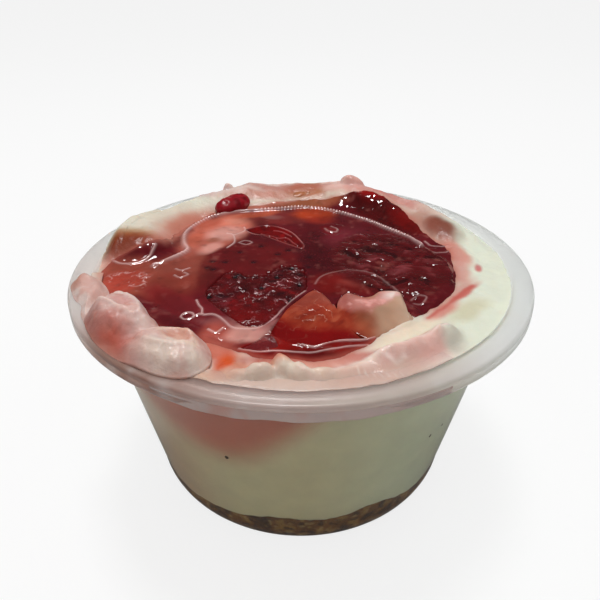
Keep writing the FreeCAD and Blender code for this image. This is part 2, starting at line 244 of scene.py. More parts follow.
def piece(name, points, faces, material, nodes, tint=None, relief=1.0):
    """A mesh piece of the object in millimetres, with its colour and how far its grain stands
    out at each corner."""
    mesh = bpy.data.meshes.new(name)
    points = np.asarray(points, float).reshape(-1, 3)
    mesh.from_pydata((points * MM).tolist(), [], [list(face) for face in faces])
    mesh.update()
    mesh.polygons.foreach_set("use_smooth", [True] * len(mesh.polygons))
    obj = bpy.data.objects.new(name, mesh)
    bpy.context.scene.collection.objects.link(obj)
    if tint is not None:
        colours = mesh.color_attributes.new("tint", "FLOAT_COLOR", "POINT")
        rgba = np.ones((len(points), 4))
        rgba[:, :3] = np.clip(np.reshape(tint, (-1, 3)), 0, 1)
        colours.data.foreach_set("color", rgba.ravel())
    layer = mesh.attributes.new("relief", "FLOAT", "POINT")
    layer.data.foreach_set("value", np.broadcast_to(relief, len(points)).astype(float).copy())
    mesh.materials.append(material)
    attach(obj, "root")
    if nodes:
        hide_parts(*nodes)
    return obj


def grid_faces(rows, columns, closed):
    """Quads of a grid of points, row by row; closed joins each row's end to its start."""
    faces = []
    last = columns if closed else columns - 1
    for row in range(rows - 1):
        base = row * columns
        for column in range(last):
            after = (column + 1) % columns
            faces.append((base + column, base + after, base + columns + after, base + columns + column))
    return faces


def polar_grid(inner, outer, step, columns):
    """Points on rings from inner to outer as (x, y) arrays of rings by columns."""
    rings = np.linspace(inner, outer, max(2, int(round((outer - inner) / step)) + 1))
    bearing = np.linspace(0, 2 * np.pi, columns, endpoint=False)
    return rings[:, None] * np.cos(bearing), rings[:, None] * np.sin(bearing)


def ball_points(level):
    """The corners and triangles of an evenly divided ball."""
    ball = bmesh.new()
    bmesh.ops.create_icosphere(ball, subdivisions=level, radius=1.0)
    ball.verts.ensure_lookup_table()
    points = np.array([vert.co[:] for vert in ball.verts])
    faces = [[vert.index for vert in face.verts] for face in ball.faces]
    ball.free()
    return points, faces


# ---------------------------------------------------------------- finishes


def new_material(name):
    """A material with a Principled shader, and that shader."""
    material = bpy.data.materials.new(name)
    material.use_nodes = True
    return material, material.node_tree.nodes["Principled BSDF"]


def node(material, kind, **values):
    """A new node in the material, with its properties or sockets set."""
    made = material.node_tree.nodes.new(kind)
    for key, value in values.items():
        if key in made.inputs:
            made.inputs[key].default_value = value
        else:
            setattr(made, key, value)
    return made


def wire(material, source, target):
    """Links two sockets of the material."""
    material.node_tree.links.new(source, target)


def settings(made, values):
    """Sets the constants on a node's own sockets."""
    for name, value in values.items():
        made.inputs[name].default_value = value


def grain_group():
    """Soft noise in millimetres of the object: gives a height for bumps and a mottle."""
    group = bpy.data.node_groups.new("food_grain", "ShaderNodeTree")
    for name, value in (("Per metre", 1000.0), ("Detail", 3.0), ("Stretch", 0.6)):
        socket = group.interface.new_socket(name, in_out="INPUT", socket_type="NodeSocketFloat")
        socket.default_value = value
    group.interface.new_socket("Height", in_out="OUTPUT", socket_type="NodeSocketFloat")
    group.interface.new_socket("Mottle", in_out="OUTPUT", socket_type="NodeSocketFloat")
    nodes = group.nodes
    links = group.links
    inputs = nodes.new("NodeGroupInput")
    outputs = nodes.new("NodeGroupOutput")
    place = nodes.new("ShaderNodeTexCoord")
    fine = nodes.new("ShaderNodeTexNoise")
    broad = nodes.new("ShaderNodeTexNoise")
    fifth = nodes.new("ShaderNodeMath")
    fifth.operation = "MULTIPLY"
    fifth.inputs[1].default_value = 0.2
    links.new(place.outputs["Object"], fine.inputs["Vector"])
    links.new(place.outputs["Object"], broad.inputs["Vector"])
    links.new(inputs.outputs["Per metre"], fine.inputs["Scale"])
    links.new(inputs.outputs["Per metre"], fifth.inputs[0])
    links.new(fifth.outputs[0], broad.inputs["Scale"])
    links.new(inputs.outputs["Detail"], fine.inputs["Detail"])
    links.new(inputs.outputs["Stretch"], fine.inputs["Roughness"])
    links.new(fine.outputs["Fac"], outputs.inputs["Height"])
    links.new(broad.outputs["Fac"], outputs.inputs["Mottle"])
    return group


GRAIN = grain_group()


def wet_food(name, roughness, scatter, reach, grain, bump, coat, coat_roughness, mottle):
    """A moist food finish: colour from the piece's tint with a mottle, light that wanders under
    the skin, and a wet coat over a grain that stands out as the piece's relief says."""
    material, shader = new_material(name)
    settings(shader, {
        "Roughness": roughness, "Specular IOR Level": 0.25 * (1 - coat),
        "Subsurface Weight": scatter, "Subsurface Radius": reach, "Subsurface Scale": 1.0,
        "IOR": 1.38, "Coat Weight": coat, "Coat Roughness": coat_roughness, "Coat IOR": 1.6,
    })
    tint = node(material, "ShaderNodeAttribute", attribute_name="tint")
    mask = node(material, "ShaderNodeAttribute", attribute_name="relief")
    grains = node(material, "ShaderNodeGroup", node_tree=GRAIN)
    grains.inputs["Per metre"].default_value = grain
    depth = node(material, "ShaderNodeMath", operation="MULTIPLY")
    raised = node(material, "ShaderNodeBump")
    settings(raised, {"Strength": 1.0, "Distance": bump * MM})
    wire(material, grains.outputs["Height"], depth.inputs[0])
    wire(material, mask.outputs["Fac"], depth.inputs[1])
    wire(material, depth.outputs[0], raised.inputs["Height"])
    wire(material, raised.outputs["Normal"], shader.inputs["Normal"])
    wire(material, raised.outputs["Normal"], shader.inputs["Coat Normal"])
    span = node(material, "ShaderNodeMapRange")
    settings(span, {"From Min": 0.3, "From Max": 0.7, "To Min": 1 - mottle, "To Max": 1 + mottle})
    blend = node(material, "ShaderNodeMix", data_type="RGBA", blend_type="MULTIPLY")
    blend.inputs[0].default_value = 1.0
    wire(material, grains.outputs["Mottle"], span.inputs["Value"])
    wire(material, tint.outputs["Color"], blend.inputs[6])
    wire(material, span.outputs["Result"], blend.inputs[7])
    wire(material, blend.outputs[2], shader.inputs["Base Color"])
    return material


def clear_sheet(name, passing, roughness):
    """The cup's clear sheet: light passes, softened a little, and shadows stay thin."""
    material, shader = new_material(name)
    tint = node(material, "ShaderNodeAttribute", attribute_name="tint")
    wire(material, tint.outputs["Color"], shader.inputs["Base Color"])
    settings(shader, {"Transmission Weight": passing, "Roughness": roughness, "IOR": 1.46})
    out = material.node_tree.nodes["Material Output"]
    path = node(material, "ShaderNodeLightPath")
    clear = node(material, "ShaderNodeBsdfTransparent")
    clear.inputs["Color"].default_value = (0.86, 0.88, 0.86, 1)
    choose = node(material, "ShaderNodeMixShader")
    wire(material, path.outputs["Is Shadow Ray"], choose.inputs[0])
    wire(material, shader.outputs[0], choose.inputs[1])
    wire(material, clear.outputs[0], choose.inputs[2])
    wire(material, choose.outputs[0], out.inputs["Surface"])
    relief = node(material, "ShaderNodeGroup", node_tree=GRAIN)
    relief.inputs["Per metre"].default_value = 260.0
    ripple = node(material, "ShaderNodeBump")
    settings(ripple, {"Strength": 1.0, "Distance": 0.1 * MM})
    wire(material, relief.outputs["Height"], ripple.inputs["Height"])
    wire(material, ripple.outputs["Normal"], shader.inputs["Normal"])
    return material


FLANGE_SHEET = clear_sheet("milky_flange_sheet", passing=0.78, roughness=0.32)
WALL_SHEET = clear_sheet("clear_wall_sheet", passing=0.97, roughness=0.12)


def scatter_by(red, green, blue):
    """How far light of each colour wanders under a skin, in millimetres."""
    return (red * MM, green * MM, blue * MM)


CREAM_SKIN = wet_food(
    "cream_skin", roughness=0.5, scatter=0.4, reach=scatter_by(1.2, 0.8, 0.6), grain=1300,
    bump=0.12, coat=0.3, coat_roughness=0.22, mottle=0.04,
)
SAUCE_SKIN = wet_food(
    "sauce_skin", roughness=0.4, scatter=0.1, reach=scatter_by(1.0, 0.3, 0.2), grain=900,
    bump=0.10, coat=0.9, coat_roughness=0.06, mottle=0.22,
)
BERRY_SKIN = wet_food(
    "berry_skin", roughness=0.4, scatter=0.1, reach=scatter_by(0.8, 0.2, 0.2), grain=1500,
    bump=0.4, coat=0.8, coat_roughness=0.08, mottle=0.3,
)
SEED_SKIN = wet_food(
    "seed_skin", roughness=0.6, scatter=0.0, reach=scatter_by(0.1, 0.1, 0.1), grain=3000,
    bump=0.02, coat=0.05, coat_roughness=0.4, mottle=0.1,
)
CRUMB_SKIN = wet_food(
    "crumb_skin", roughness=0.85, scatter=0.0, reach=scatter_by(0.3, 0.2, 0.1), grain=1500,
    bump=0.35, coat=0.0, coat_roughness=0.3, mottle=0.2,
)


# ---------------------------------------------------------------- colours

CREAM_WHITE = tone(236, 228, 214)
CAKE_WHITE = tone(219, 222, 204)
CAKE_WALL = tone(218, 208, 168)
STAIN_ORANGE = tone(208, 78, 24)
SAUCE_WINE = tone(92, 14, 22)
SAUCE_HAZE = tone(96, 16, 18)
SAUCE_RED = tone(128, 8, 4)
SAUCE_SALMON = tone(144, 66, 52)
SAUCE_ROSE = tone(204, 112, 92)
SAUCE_PINK = tone(212, 152, 140)
SAUCE_ORANGE = tone(166, 56, 24)
FLESH_BRIGHT = tone(136, 0, 0)
FLESH_DARK = tone(64, 4, 10)
SEED_DARK = tone(22, 8, 12)


# ---------------------------------------------------------------- the food's top

# The crest that the lid's ring left round the pressed disc: (bearing, reach).
RING = ring_curve((
    (0, 24.2), (8, 22.2), (22, 21.0), (38, 19.9), (58, 20.4), (75, 21.6), (90, 22.5), (103, 21.9),
    (114, 22.7), (123, 23.9), (134, 24.7), (144, 23.9), (153, 23.0), (163, 21.2), (171, 19.8),
    (177, 20.7), (183, 23.2), (200, 24.5), (225, 23.6), (250, 22.6), (262, 23.2), (270, 24.4),
    (279, 24.6), (293, 24.6), (310, 24.2), (330, 24.2), (345, 24.6),
))

# Where the sauce ends and bare cream or cheesecake begins: (bearing, reach).
SHORE = ring_curve((
    (0, 25.0), (11, 26.2), (20, 24.6), (28, 24.6), (38, 26.0), (47, 27.4), (55, 28.6), (60, 29.0),
    (65, 28.2), (71, 26.2), (80, 25.8), (90, 25.8), (100, 25.0), (110, 25.0), (120, 26.0), (130, 26.6),
    (140, 26.4), (150, 25.6), (160, 24.4), (168, 24.2), (174, 25.0), (177, 28.6), (180, 32.2),
    (186, 32.8), (192, 32.4), (199, 31.6), (204, 29.4), (213, 28.0), (225, 28.6), (234, 26.6),
    (244, 26.6), (253, 26.8), (259, 27.9), (262, 28.4), (265, 27.0), (268, 27.0), (273, 28.6),
    (278, 27.4), (284, 26.8), (289, 26.0), (294, 24.4), (304, 23.6), (311, 23.7), (320, 24.3),
    (330, 24.9), (340, 25.2), (350, 25.1),
))

# How high the cream stands over the flange between the disc and the rim: (bearing, height).
BANK = ring_curve((
    (0, 0.0), (10, 0.4), (20, 1.0), (30, 1.6), (40, 1.7), (50, 2.1), (60, 2.5), (68, 3.1), (75, 3.1),
    (82, 2.5), (92, 2.3), (102, 2.4), (112, 2.7), (122, 2.5), (132, 2.1), (142, 2.0), (152, 2.2),
    (160, 2.8), (167, 3.0), (172, 3.0), (175, 2.6), (178, 1.0), (181, 0.0), (250, 0.0), (345, 0.0),
))

# Soft heaps of cream: middle, half length, half width, turn, height.
HEAPS = (
    ((-21.0, 26.0), 1.9, 1.3, 30, 1.2),
    ((-15.2, 28.6), 1.3, 1.1, 0, 1.6),
    ((10.4, 29.8), 2.6, 1.7, -20, 1.5),
    ((22.8, 20.2), 2.6, 1.8, -50, 0.5),
    ((26.0, 11.4), 4.9, 3.2, -70, 0.8),
    ((27.2, 1.6), 4.2, 2.2, -80, 0.35),
    ((-24.6, 4.2), 3.4, 1.8, 60, 0.5),
    ((-5.0, -31.0), 2.1, 1.5, 30, 1.9),
    ((-2.3, -29.4), 1.5, 1.8, 20, 1.9),
    ((-0.2, -30.8), 2.1, 1.4, -20, 1.6),
    ((2.6, -31.0), 2.2, 1.3, 10, 1.1),
    ((-7.6, -31.5), 1.6, 1.2, 20, 1.2),
    ((-8.8, -30.0), 1.6, 2.2, 20, 0.5),
)

# The fold of cream along the front right, and the low seam that runs on from it.
FOLDS = (
    (((10.2, -28.1), (12.2, -27.3), (14.4, -26.1), (16.8, -24.4), (18.8, -22.8), (19.8, -21.8)), 2.0, 1.9),
    (((2.0, -31.0), (4.6, -30.7), (7.2, -29.7), (10.2, -27.9)), 0.9, 1.2),
)

# Where the sauce falls away between the left berry and the rolls.
FRONT_FALL = ((-11.0, -20.6), 6.4, 2.6, -36)
FRONT_DROP = 0.9

# Hollows: a run of points, depth, half width.
HOLLOWS = (
    (((-3.0, -25.8), (0.6, -26.4), (5.0, -25.6), (8.6, -24.4)), 0.2, 1.5),
    (((-22.0, -12.2), (-18.6, -15.2), (-14.6, -17.4)), 0.5, 1.8),
    (((9.6, 22.6), (14.2, 20.4), (17.6, 16.4), (20.6, 11.4)), 0.7, 1.4),
    (((-19.4, 18.4), (-22.0, 14.4), (-22.8, 10.4)), 0.4, 1.2),
    (((16.4, -12.4), (17.6, -15.8)), 0.5, 1.2),
)

# Thin wet crests where the film climbs an edge: a run of points, height, half width, painted highlight
# (how pale the crest is painted).
# The first is the crest that the lid's ring left, which is finely combed.
CRESTS = (
    (((-24.2, -1.9), (-22.4, -0.5), (-20.6, 1.0), (-19.4, 3.0), (-20.5, 6.1), (-21.0, 10.7),
      (-19.6, 14.1), (-17.4, 17.2), (-15.4, 18.9), (-12.9, 20.1), (-9.3, 20.9), (-4.8, 21.4),
      (0.2, 22.5), (3.1, 22.1), (5.4, 20.9), (8.0, 19.3), (10.9, 17.3), (13.8, 14.7), (15.7, 12.1),
      (17.7, 10.0), (19.6, 8.0), (20.9, 4.8)), 0.6, 0.48, 0.75),
    (((-4.2, -21.8), (-2.3, -22.9), (0.0, -24.4), (1.8, -24.9), (4.2, -24.0), (8.6, -23.3),
      (12.4, -21.1), (15.9, -18.4)), 0.14, 0.17, 0.9),
    (((-8.1, -25.2), (-5.6, -26.1), (-3.0, -25.6), (0.8, -26.1), (2.8, -25.6), (5.5, -24.9),
      (8.8, -24.2)), 0.12, 0.17, 0.8),
    (((-33.0, 1.4), (-31.1, -0.4), (-29.4, -1.0), (-27.0, -0.5), (-25.5, 0.7), (-24.6, 2.8)),
     0.2, 0.2, 0.7),
    (((-13.0, 23.2), (-9.9, 23.9), (-6.2, 24.6), (-1.9, 25.4), (1.3, 26.6), (5.4, 27.0)), 0.15, 0.2, 0.5),
    (((-15.4, -13.4), (-14.9, -14.6), (-14.3, -15.5), (-14.1, -16.5), (-12.8, -16.8), (-11.8, -17.4),
      (-10.7, -18.6), (-9.7, -19.8), (-8.3, -20.5), (-6.1, -20.9), (-4.6, -19.6), (-3.3, -17.4),
      (-2.3, -15.2), (-0.8, -12.8), (0.6, -10.8)), 0.12, 0.15, 0.75),
    (((-15.4, -16.9), (-14.8, -16.4), (-14.1, -16.5)), 0.12, 0.15, 0.75),
    (((-16.6, -17.6), (-17.2, -16.8), (-16.6, -16.0), (-15.6, -16.2), (-15.4, -17.0), (-16.6, -17.6)),
     0.14, 0.15, 0.8),
    (((-13.4, 10.2), (-12.2, 9.5), (-11.7, 6.3), (-12.7, 4.2)), 0.16, 0.18, 0.8),
    (((-12.1, 9.4), (-10.3, 11.2), (-10.5, 12.9)), 0.16, 0.18, 0.7),
    (((-10.9, 6.2), (-9.8, 7.1), (-8.6, 6.3), (-9.6, 5.4), (-10.9, 6.2)), 0.12, 0.17, 0.6),
    (((2.2, -8.6), (3.2, -6.3), (5.7, -4.8), (8.4, -4.3), (10.8, -5.0), (12.6, -6.8), (14.6, -10.8)),
     0.10, 0.2, 0.35),
    (((22.0, 7.6), (22.8, 5.9), (24.6, 5.5), (26.8, 5.7)), 0.15, 0.2, 0.6),
    (((21.6, 4.2), (23.4, 3.1), (25.0, 3.4), (26.5, 4.6)), 0.12, 0.2, 0.5),
    (((16.4, -12.8), (17.4, -11.8), (18.6, -12.6), (17.8, -14.0), (16.6, -13.8)), 0.12, 0.17, 0.4),
    (((-20.2, -3.6), (-19.2, -4.2), (-18.0, -3.4)), 0.2, 0.2, 0.6),
    (((-20.0, -5.8), (-19.0, -6.6), (-17.9, -5.7), (-18.6, -5.0)), 0.2, 0.2, 0.6),
    (((4.4, 12.6), (5.0, 11.0), (6.4, 10.8), (6.6, 12.4), (5.6, 13.4)), 0.14, 0.18, 0.5),
    (((-12.9, -19.8), (-11.8, -20.4), (-10.8, -19.8)), 0.2, 0.2, 0.7),
)

SEED_SPOTS_LEFT = (
    (-12.5, -1.2), (-10.4, 2.5), (-7.8, -1.2), (-1.5, -3.3), (-0.2, -8.7), (-14.2, -3.7), (-1.6, -13.5),
    (-3.8, -6.1), (-6.9, 4.9), (-13.7, -12.2), (1.1, -3.0), (-3.9, 1.7), (-15.2, -3.2), (-14.6, -0.9),
    (-10.3, -6.1), (-6.0, -9.6), (1.4, 0.6), (-2.2, 3.2),
)

# The left berry, and the part of it that stands bare of the sauce.
LEFT_WHOLE = closed_run((
    (-15.4, -12.0), (-16.0, -7.1), (-15.6, -0.9), (-13.2, 2.9), (-9.4, 5.7), (-5.5, 6.5), (-1.6, 4.5),
    (1.0, 1.4), (2.1, -3.0), (1.6, -8.6), (-0.6, -12.7), (-2.2, -15.2), (-2.9, -17.6), (-4.0, -19.4),
    (-5.3, -20.8), (-6.9, -20.8), (-8.3, -20.3), (-9.6, -19.0), (-11.1, -17.4), (-12.9, -15.2),
    (-14.3, -13.4),
))
LEFT_BARE = closed_run((
    (-13.9, -13.2), (-12.6, -14.9), (-10.9, -17.1), (-9.4, -18.7), (-8.1, -20.0), (-6.7, -20.5),
    (-5.1, -20.4), (-3.8, -19.0), (-2.7, -17.1), (-2.0, -15.0), (-0.6, -12.6), (0.6, -10.8),
    (1.1, -9.0), (0.8, -5.7), (-0.5, -3.4), (-2.3, -2.2), (-4.7, -3.4), (-5.9, -5.0), (-8.6, -5.4),
    (-11.1, -4.9), (-12.8, -6.1), (-13.8, -8.3), (-14.5, -10.8),
))

# The cut front: the foot of its slope, then the wedge and the block that share it.
FACE_FOOT = (
    (-4.2, -21.9), (-3.6, -22.8), (-2.5, -23.5), (-1.2, -24.2), (1.2, -24.7), (2.8, -24.5),
    (4.4, -24.0), (6.1, -23.4), (8.4, -23.3), (9.8, -22.8), (11.0, -22.1), (12.5, -20.9),
    (14.1, -19.4), (15.8, -18.3),
)
WEDGE_BACK = (
    (4.8, -14.6), (4.2, -13.2), (3.2, -11.3), (2.2, -10.3), (1.1, -11.0), (-0.4, -13.2),
    (-1.9, -15.5), (-2.9, -17.9), (-3.8, -20.2),
)
BLOCK_BACK = (
    (15.4, -16.3), (15.3, -13.6), (15.2, -11.6), (14.3, -11.0), (12.8, -10.9), (11.5, -11.2),
    (10.3, -12.5), (9.2, -12.8), (8.3, -12.2), (6.9, -11.6), (5.8, -12.6),
)
SEAM = ((8.4, -23.3), (7.0, -21.0), (6.0, -18.6), (5.2, -16.4))
WEDGE = closed_run(FACE_FOOT[:8] + SEAM + WEDGE_BACK)
BLOCK = closed_run(FACE_FOOT[9:] + BLOCK_BACK + SEAM[:0:-1])
FACE = closed_run(FACE_FOOT + BLOCK_BACK + WEDGE_BACK)
BLOCK_TOP = closed_run((
    (5.8, -13.2), (6.9, -12.0), (8.4, -12.6), (9.4, -13.4), (10.4, -13.0), (11.6, -11.8),
    (13.0, -11.4), (14.2, -11.5), (14.9, -12.0), (14.3, -12.9), (13.3, -14.0), (12.2, -15.2),
    (10.8, -16.5), (8.9, -17.0), (6.8, -16.3), (5.4, -14.6),
))
FOOT_LEVEL = PRESSED - 0.75  # the slope's foot, inside the ring
BLOCK_LEVEL = PRESSED + 0.5  # the block's top edge

SLICE = closed_run((
    (-10.2, 11.8), (-8.7, 13.1), (-6.4, 14.0), (-3.9, 13.1), (-1.6, 10.9), (-0.2, 8.0), (0.7, 5.2),
    (0.2, 3.8), (-1.6, 4.9), (-4.1, 6.9), (-6.7, 9.0), (-8.9, 10.0),
))
CHIP = closed_run((
    (-8.0, -25.2), (-6.6, -23.8), (-5.2, -22.6), (-3.8, -22.6), (-2.9, -24.4), (-3.8, -25.2),
    (-5.6, -25.9),
))
BARE_FRUIT = (LEFT_BARE, FACE, SLICE, CHIP)


def heap_height(x, y, spot, half_length, half_width, turn, height):
    """The height of one soft heap of cream."""
    reach = oval(x, y, spot, half_length, half_width, turn)
    return height * np.clip(1 - reach**2, 0, None) ** 0.75


def arc_share(bearing, start, end, ease=8.0):
    """1 between two bearings and 0 elsewhere, easing over a few degrees."""
    middle = (start + end) / 2
    away = np.abs((bearing - middle + 180) % 360 - 180)
    half = (end - start) / 2
    return 1 - smooth(half - ease / 2, half + ease / 2, away)


def ground(x, y):
    """The food's top without the high rolls, in millimetres over the table."""
    reach = np.hypot(x, y)
    bearing = compass(x, y)
    outside = reach - RING(x, y)
    pressed = PRESSED + 0.05 * cloud(x, y, 9, 5.0)
    level = TOP - 0.2 + 0.2 * cloud(x, y, 0, 6.0)
    crescent = arc_share(bearing, 310, 385, 20)
    level = level + crescent * (0.18 * cloud(x, y, 3, 1.5, 3, 0.6) - 0.1)
    rise = smooth(0.8, 8.0, outside) * (1 - 0.9 * smooth(31.5, MOUTH + 0.1, reach))
    lumps = 1 + 0.22 * cloud(x, y, 13, 5.0, 3) + 0.08 * cloud(x, y, 15, 1.6, 2)
    level = level + BANK(x, y) * rise * lumps
    heaps = np.zeros_like(level)
    hx, hy = wandered(x, y, 0.45, 1.6)
    for row in HEAPS:
        heaps = heaps + heap_height(hx, hy, *row) ** 3
    for points, height, width in FOLDS:
        away = near_line(x, y, rounded_run(points))
        waves = 1 + 0.3 * cloud(x, y, 27, 1.8, 3, 0.6)
        heaps = heaps + (height * waves * (1 - smooth(0.0, 1.0, away / (1.5 * width)) ** 0.8)) ** 3
    level = level + heaps ** (1 / 3)
    front = arc_share(bearing, 205, 325, 20)
    level = level + front * 0.22 * cloud(x, y, 17, 2.6, 3)
    inner = 1 - smooth(-0.4, 0.8, outside)
    level = level * (1 - inner) + pressed * inner
    salmon = (1 - smooth(-20.0, -16.0, x)) * arc_share(bearing, 178, 214, 6)
    level = level - salmon * 0.012 * np.clip(-16 - x, 0, None) ** 1.3
    level = level - FRONT_DROP * bell(oval(x, y, *FRONT_FALL), 0.85)
    level = front_rise(x, y, level)
    for points, depth, width in HOLLOWS:
        level = level - depth * bell(near_line(x, y, rounded_run(points)), width)
    edge = smooth(MOUTH - 1.2, MOUTH, reach)
    return level * (1 - edge) + np.minimum(level, TOP + 0.1) * edge


def front_rise(x, y, level):
    """The level with the wedge's slope and the block's top and face laid over it."""
    x, y = np.broadcast_arrays(np.asarray(x, float), np.asarray(y, float))
    near = (x > -6) & (x < 17) & (y > -26) & (y < -9)
    if not near.any():
        return level
    level = level.copy()
    px = x[near]
    py = y[near]
    foot = near_line(px, py, rounded_run(FACE_FOOT))
    slope = FOOT_LEVEL + (PRESSED + 0.1 - FOOT_LEVEL) * smooth(-2.0, 6.5, foot)
    off_top = np.clip(-inside_outline(px, py, BLOCK_TOP), 0, None)
    climb = foot / (foot + off_top + 1e-6)
    face = FOOT_LEVEL + (BLOCK_LEVEL - FOOT_LEVEL) * climb**0.8
    right = smooth(4.0, 8.0, px + 0.25 * (py + 17))
    here = slope * (1 - right) + face * right
    share = smooth(-0.1, 0.55, inside_outline(px, py, FACE))
    level[near] = level[near] * (1 - share) + here * share
    return level


def crests(x, y):
    """The height of the thin wet crests, and their painted highlight: how pale they are painted."""
    bearing = np.arctan2(y, x)
    comb = np.sin(bearing * 210) * smooth(-0.2, 0.3, cloud(x, y, 41, 6.0))
    level = np.zeros(np.broadcast(x, y).shape)
    pale = np.zeros(level.shape)
    for index, (points, height, width, painted_highlight) in enumerate(CRESTS):
        share = line_share(x, y, points, width)
        ticks = comb if index == 0 else 0.0
        level = np.maximum(level, height * share * (1 + 0.22 * ticks))
        pale = np.maximum(pale, painted_highlight * share * (1 + 0.5 * ticks))
    # Thin raised curls at the salmon pool's left end, painted pale as glints.
    curl = bell(cloud(x, y, 51, 1.1, 2), 0.09) * smooth(-0.3, 0.1, cloud(x, y, 53, 1.9, 2))
    curl = curl * (1 - smooth(0.7, 1.1, oval(x, y, (-27.0, -6.6), 4.8, 3.2, -24)))
    return np.maximum(level, 0.16 * curl), np.maximum(pale, 0.7 * curl)


def crest_height(x, y):
    """How high the thin wet crests stand."""
    return crests(x, y)[0]


def shore_share(x, y):
    """Above 0 where sauce covers, in millimetres inside its edge."""
    return SHORE(x, y) - np.hypot(x, y) + 0.5 * cloud(x, y, 21, 2.6, 3)


def fibres(x, y):
    """Wavy strands of the right berry's flesh under its film."""
    wx, wy = wandered(x, y, 2.2, 3.4)
    along = 0.94 * wx - 0.34 * wy
    across = 0.34 * wx + 0.94 * wy
    return cloud(along / 1.9, across, 2, 1.4, 4, 0.6)


RIGHT_BERRY = ((14.6, -1.6), 12.6, 9.6, 108)
LEFT_BERRY = ((-8.2, -4.6), 11.6, 8.6, 92)


# The far left end of the sauce, where its surface is liveliest.
SALMON_END = ((-27.2, -6.4), 4.2, 3.4, 60)


def sauce_ripple(x, y):
    """Small swells of the sauce: lively over the right berry, in the salmon pool's left end and
    over the covered berry."""
    over_right = 1 - smooth(0.8, 1.05, oval(x, y, *RIGHT_BERRY))
    ripple = 0.42 * over_right * fibres(x, y) + 0.10 * over_right * cloud(x, y, 14, 0.8, 2)
    lively = bell(oval(x, y, *SALMON_END), 0.9)
    ripple = ripple + 0.24 * lively * cloud(x, y, 6, 0.8, 2)
    back_right = bell(oval(x, y, (14.6, 24.0), 8.0, 4.0, -50), 0.9)
    ripple = ripple + 0.16 * back_right * cloud(x, y, 12, 0.8, 2)
    drops = bell(oval(x, y, (13.6, -2.4), 4.2, 2.0, 20), 0.9)
    drops = drops + bell(oval(x, y, (17.4, -10.6), 3.0, 4.4, 0), 0.9)
    ripple = ripple + 0.30 * drops * cloud(x, y, 8, 1.1, 2)
    film = 1 - smooth(0.5, 1.0, oval(x, y, (7.6, -8.8), 5.8, 4.8, -20))
    ripple = ripple + 0.35 * film
    swirl = bell(oval(x, y, (5.6, 11.6), 2.6, 3.2, 0), 0.8)
    ripple = ripple + 0.14 * swirl * np.sin(np.hypot(x - 5.6, y - 11.6) * 3.0)
    for spot in SEED_SPOTS_LEFT:
        away = np.hypot(x - spot[0], y - spot[1])
        ripple = ripple + 0.05 * bell(away - 0.62, 0.24) - 0.05 * bell(away, 0.36)
    return ripple + 0.04 * cloud(x, y, 2, 1.8, 2)


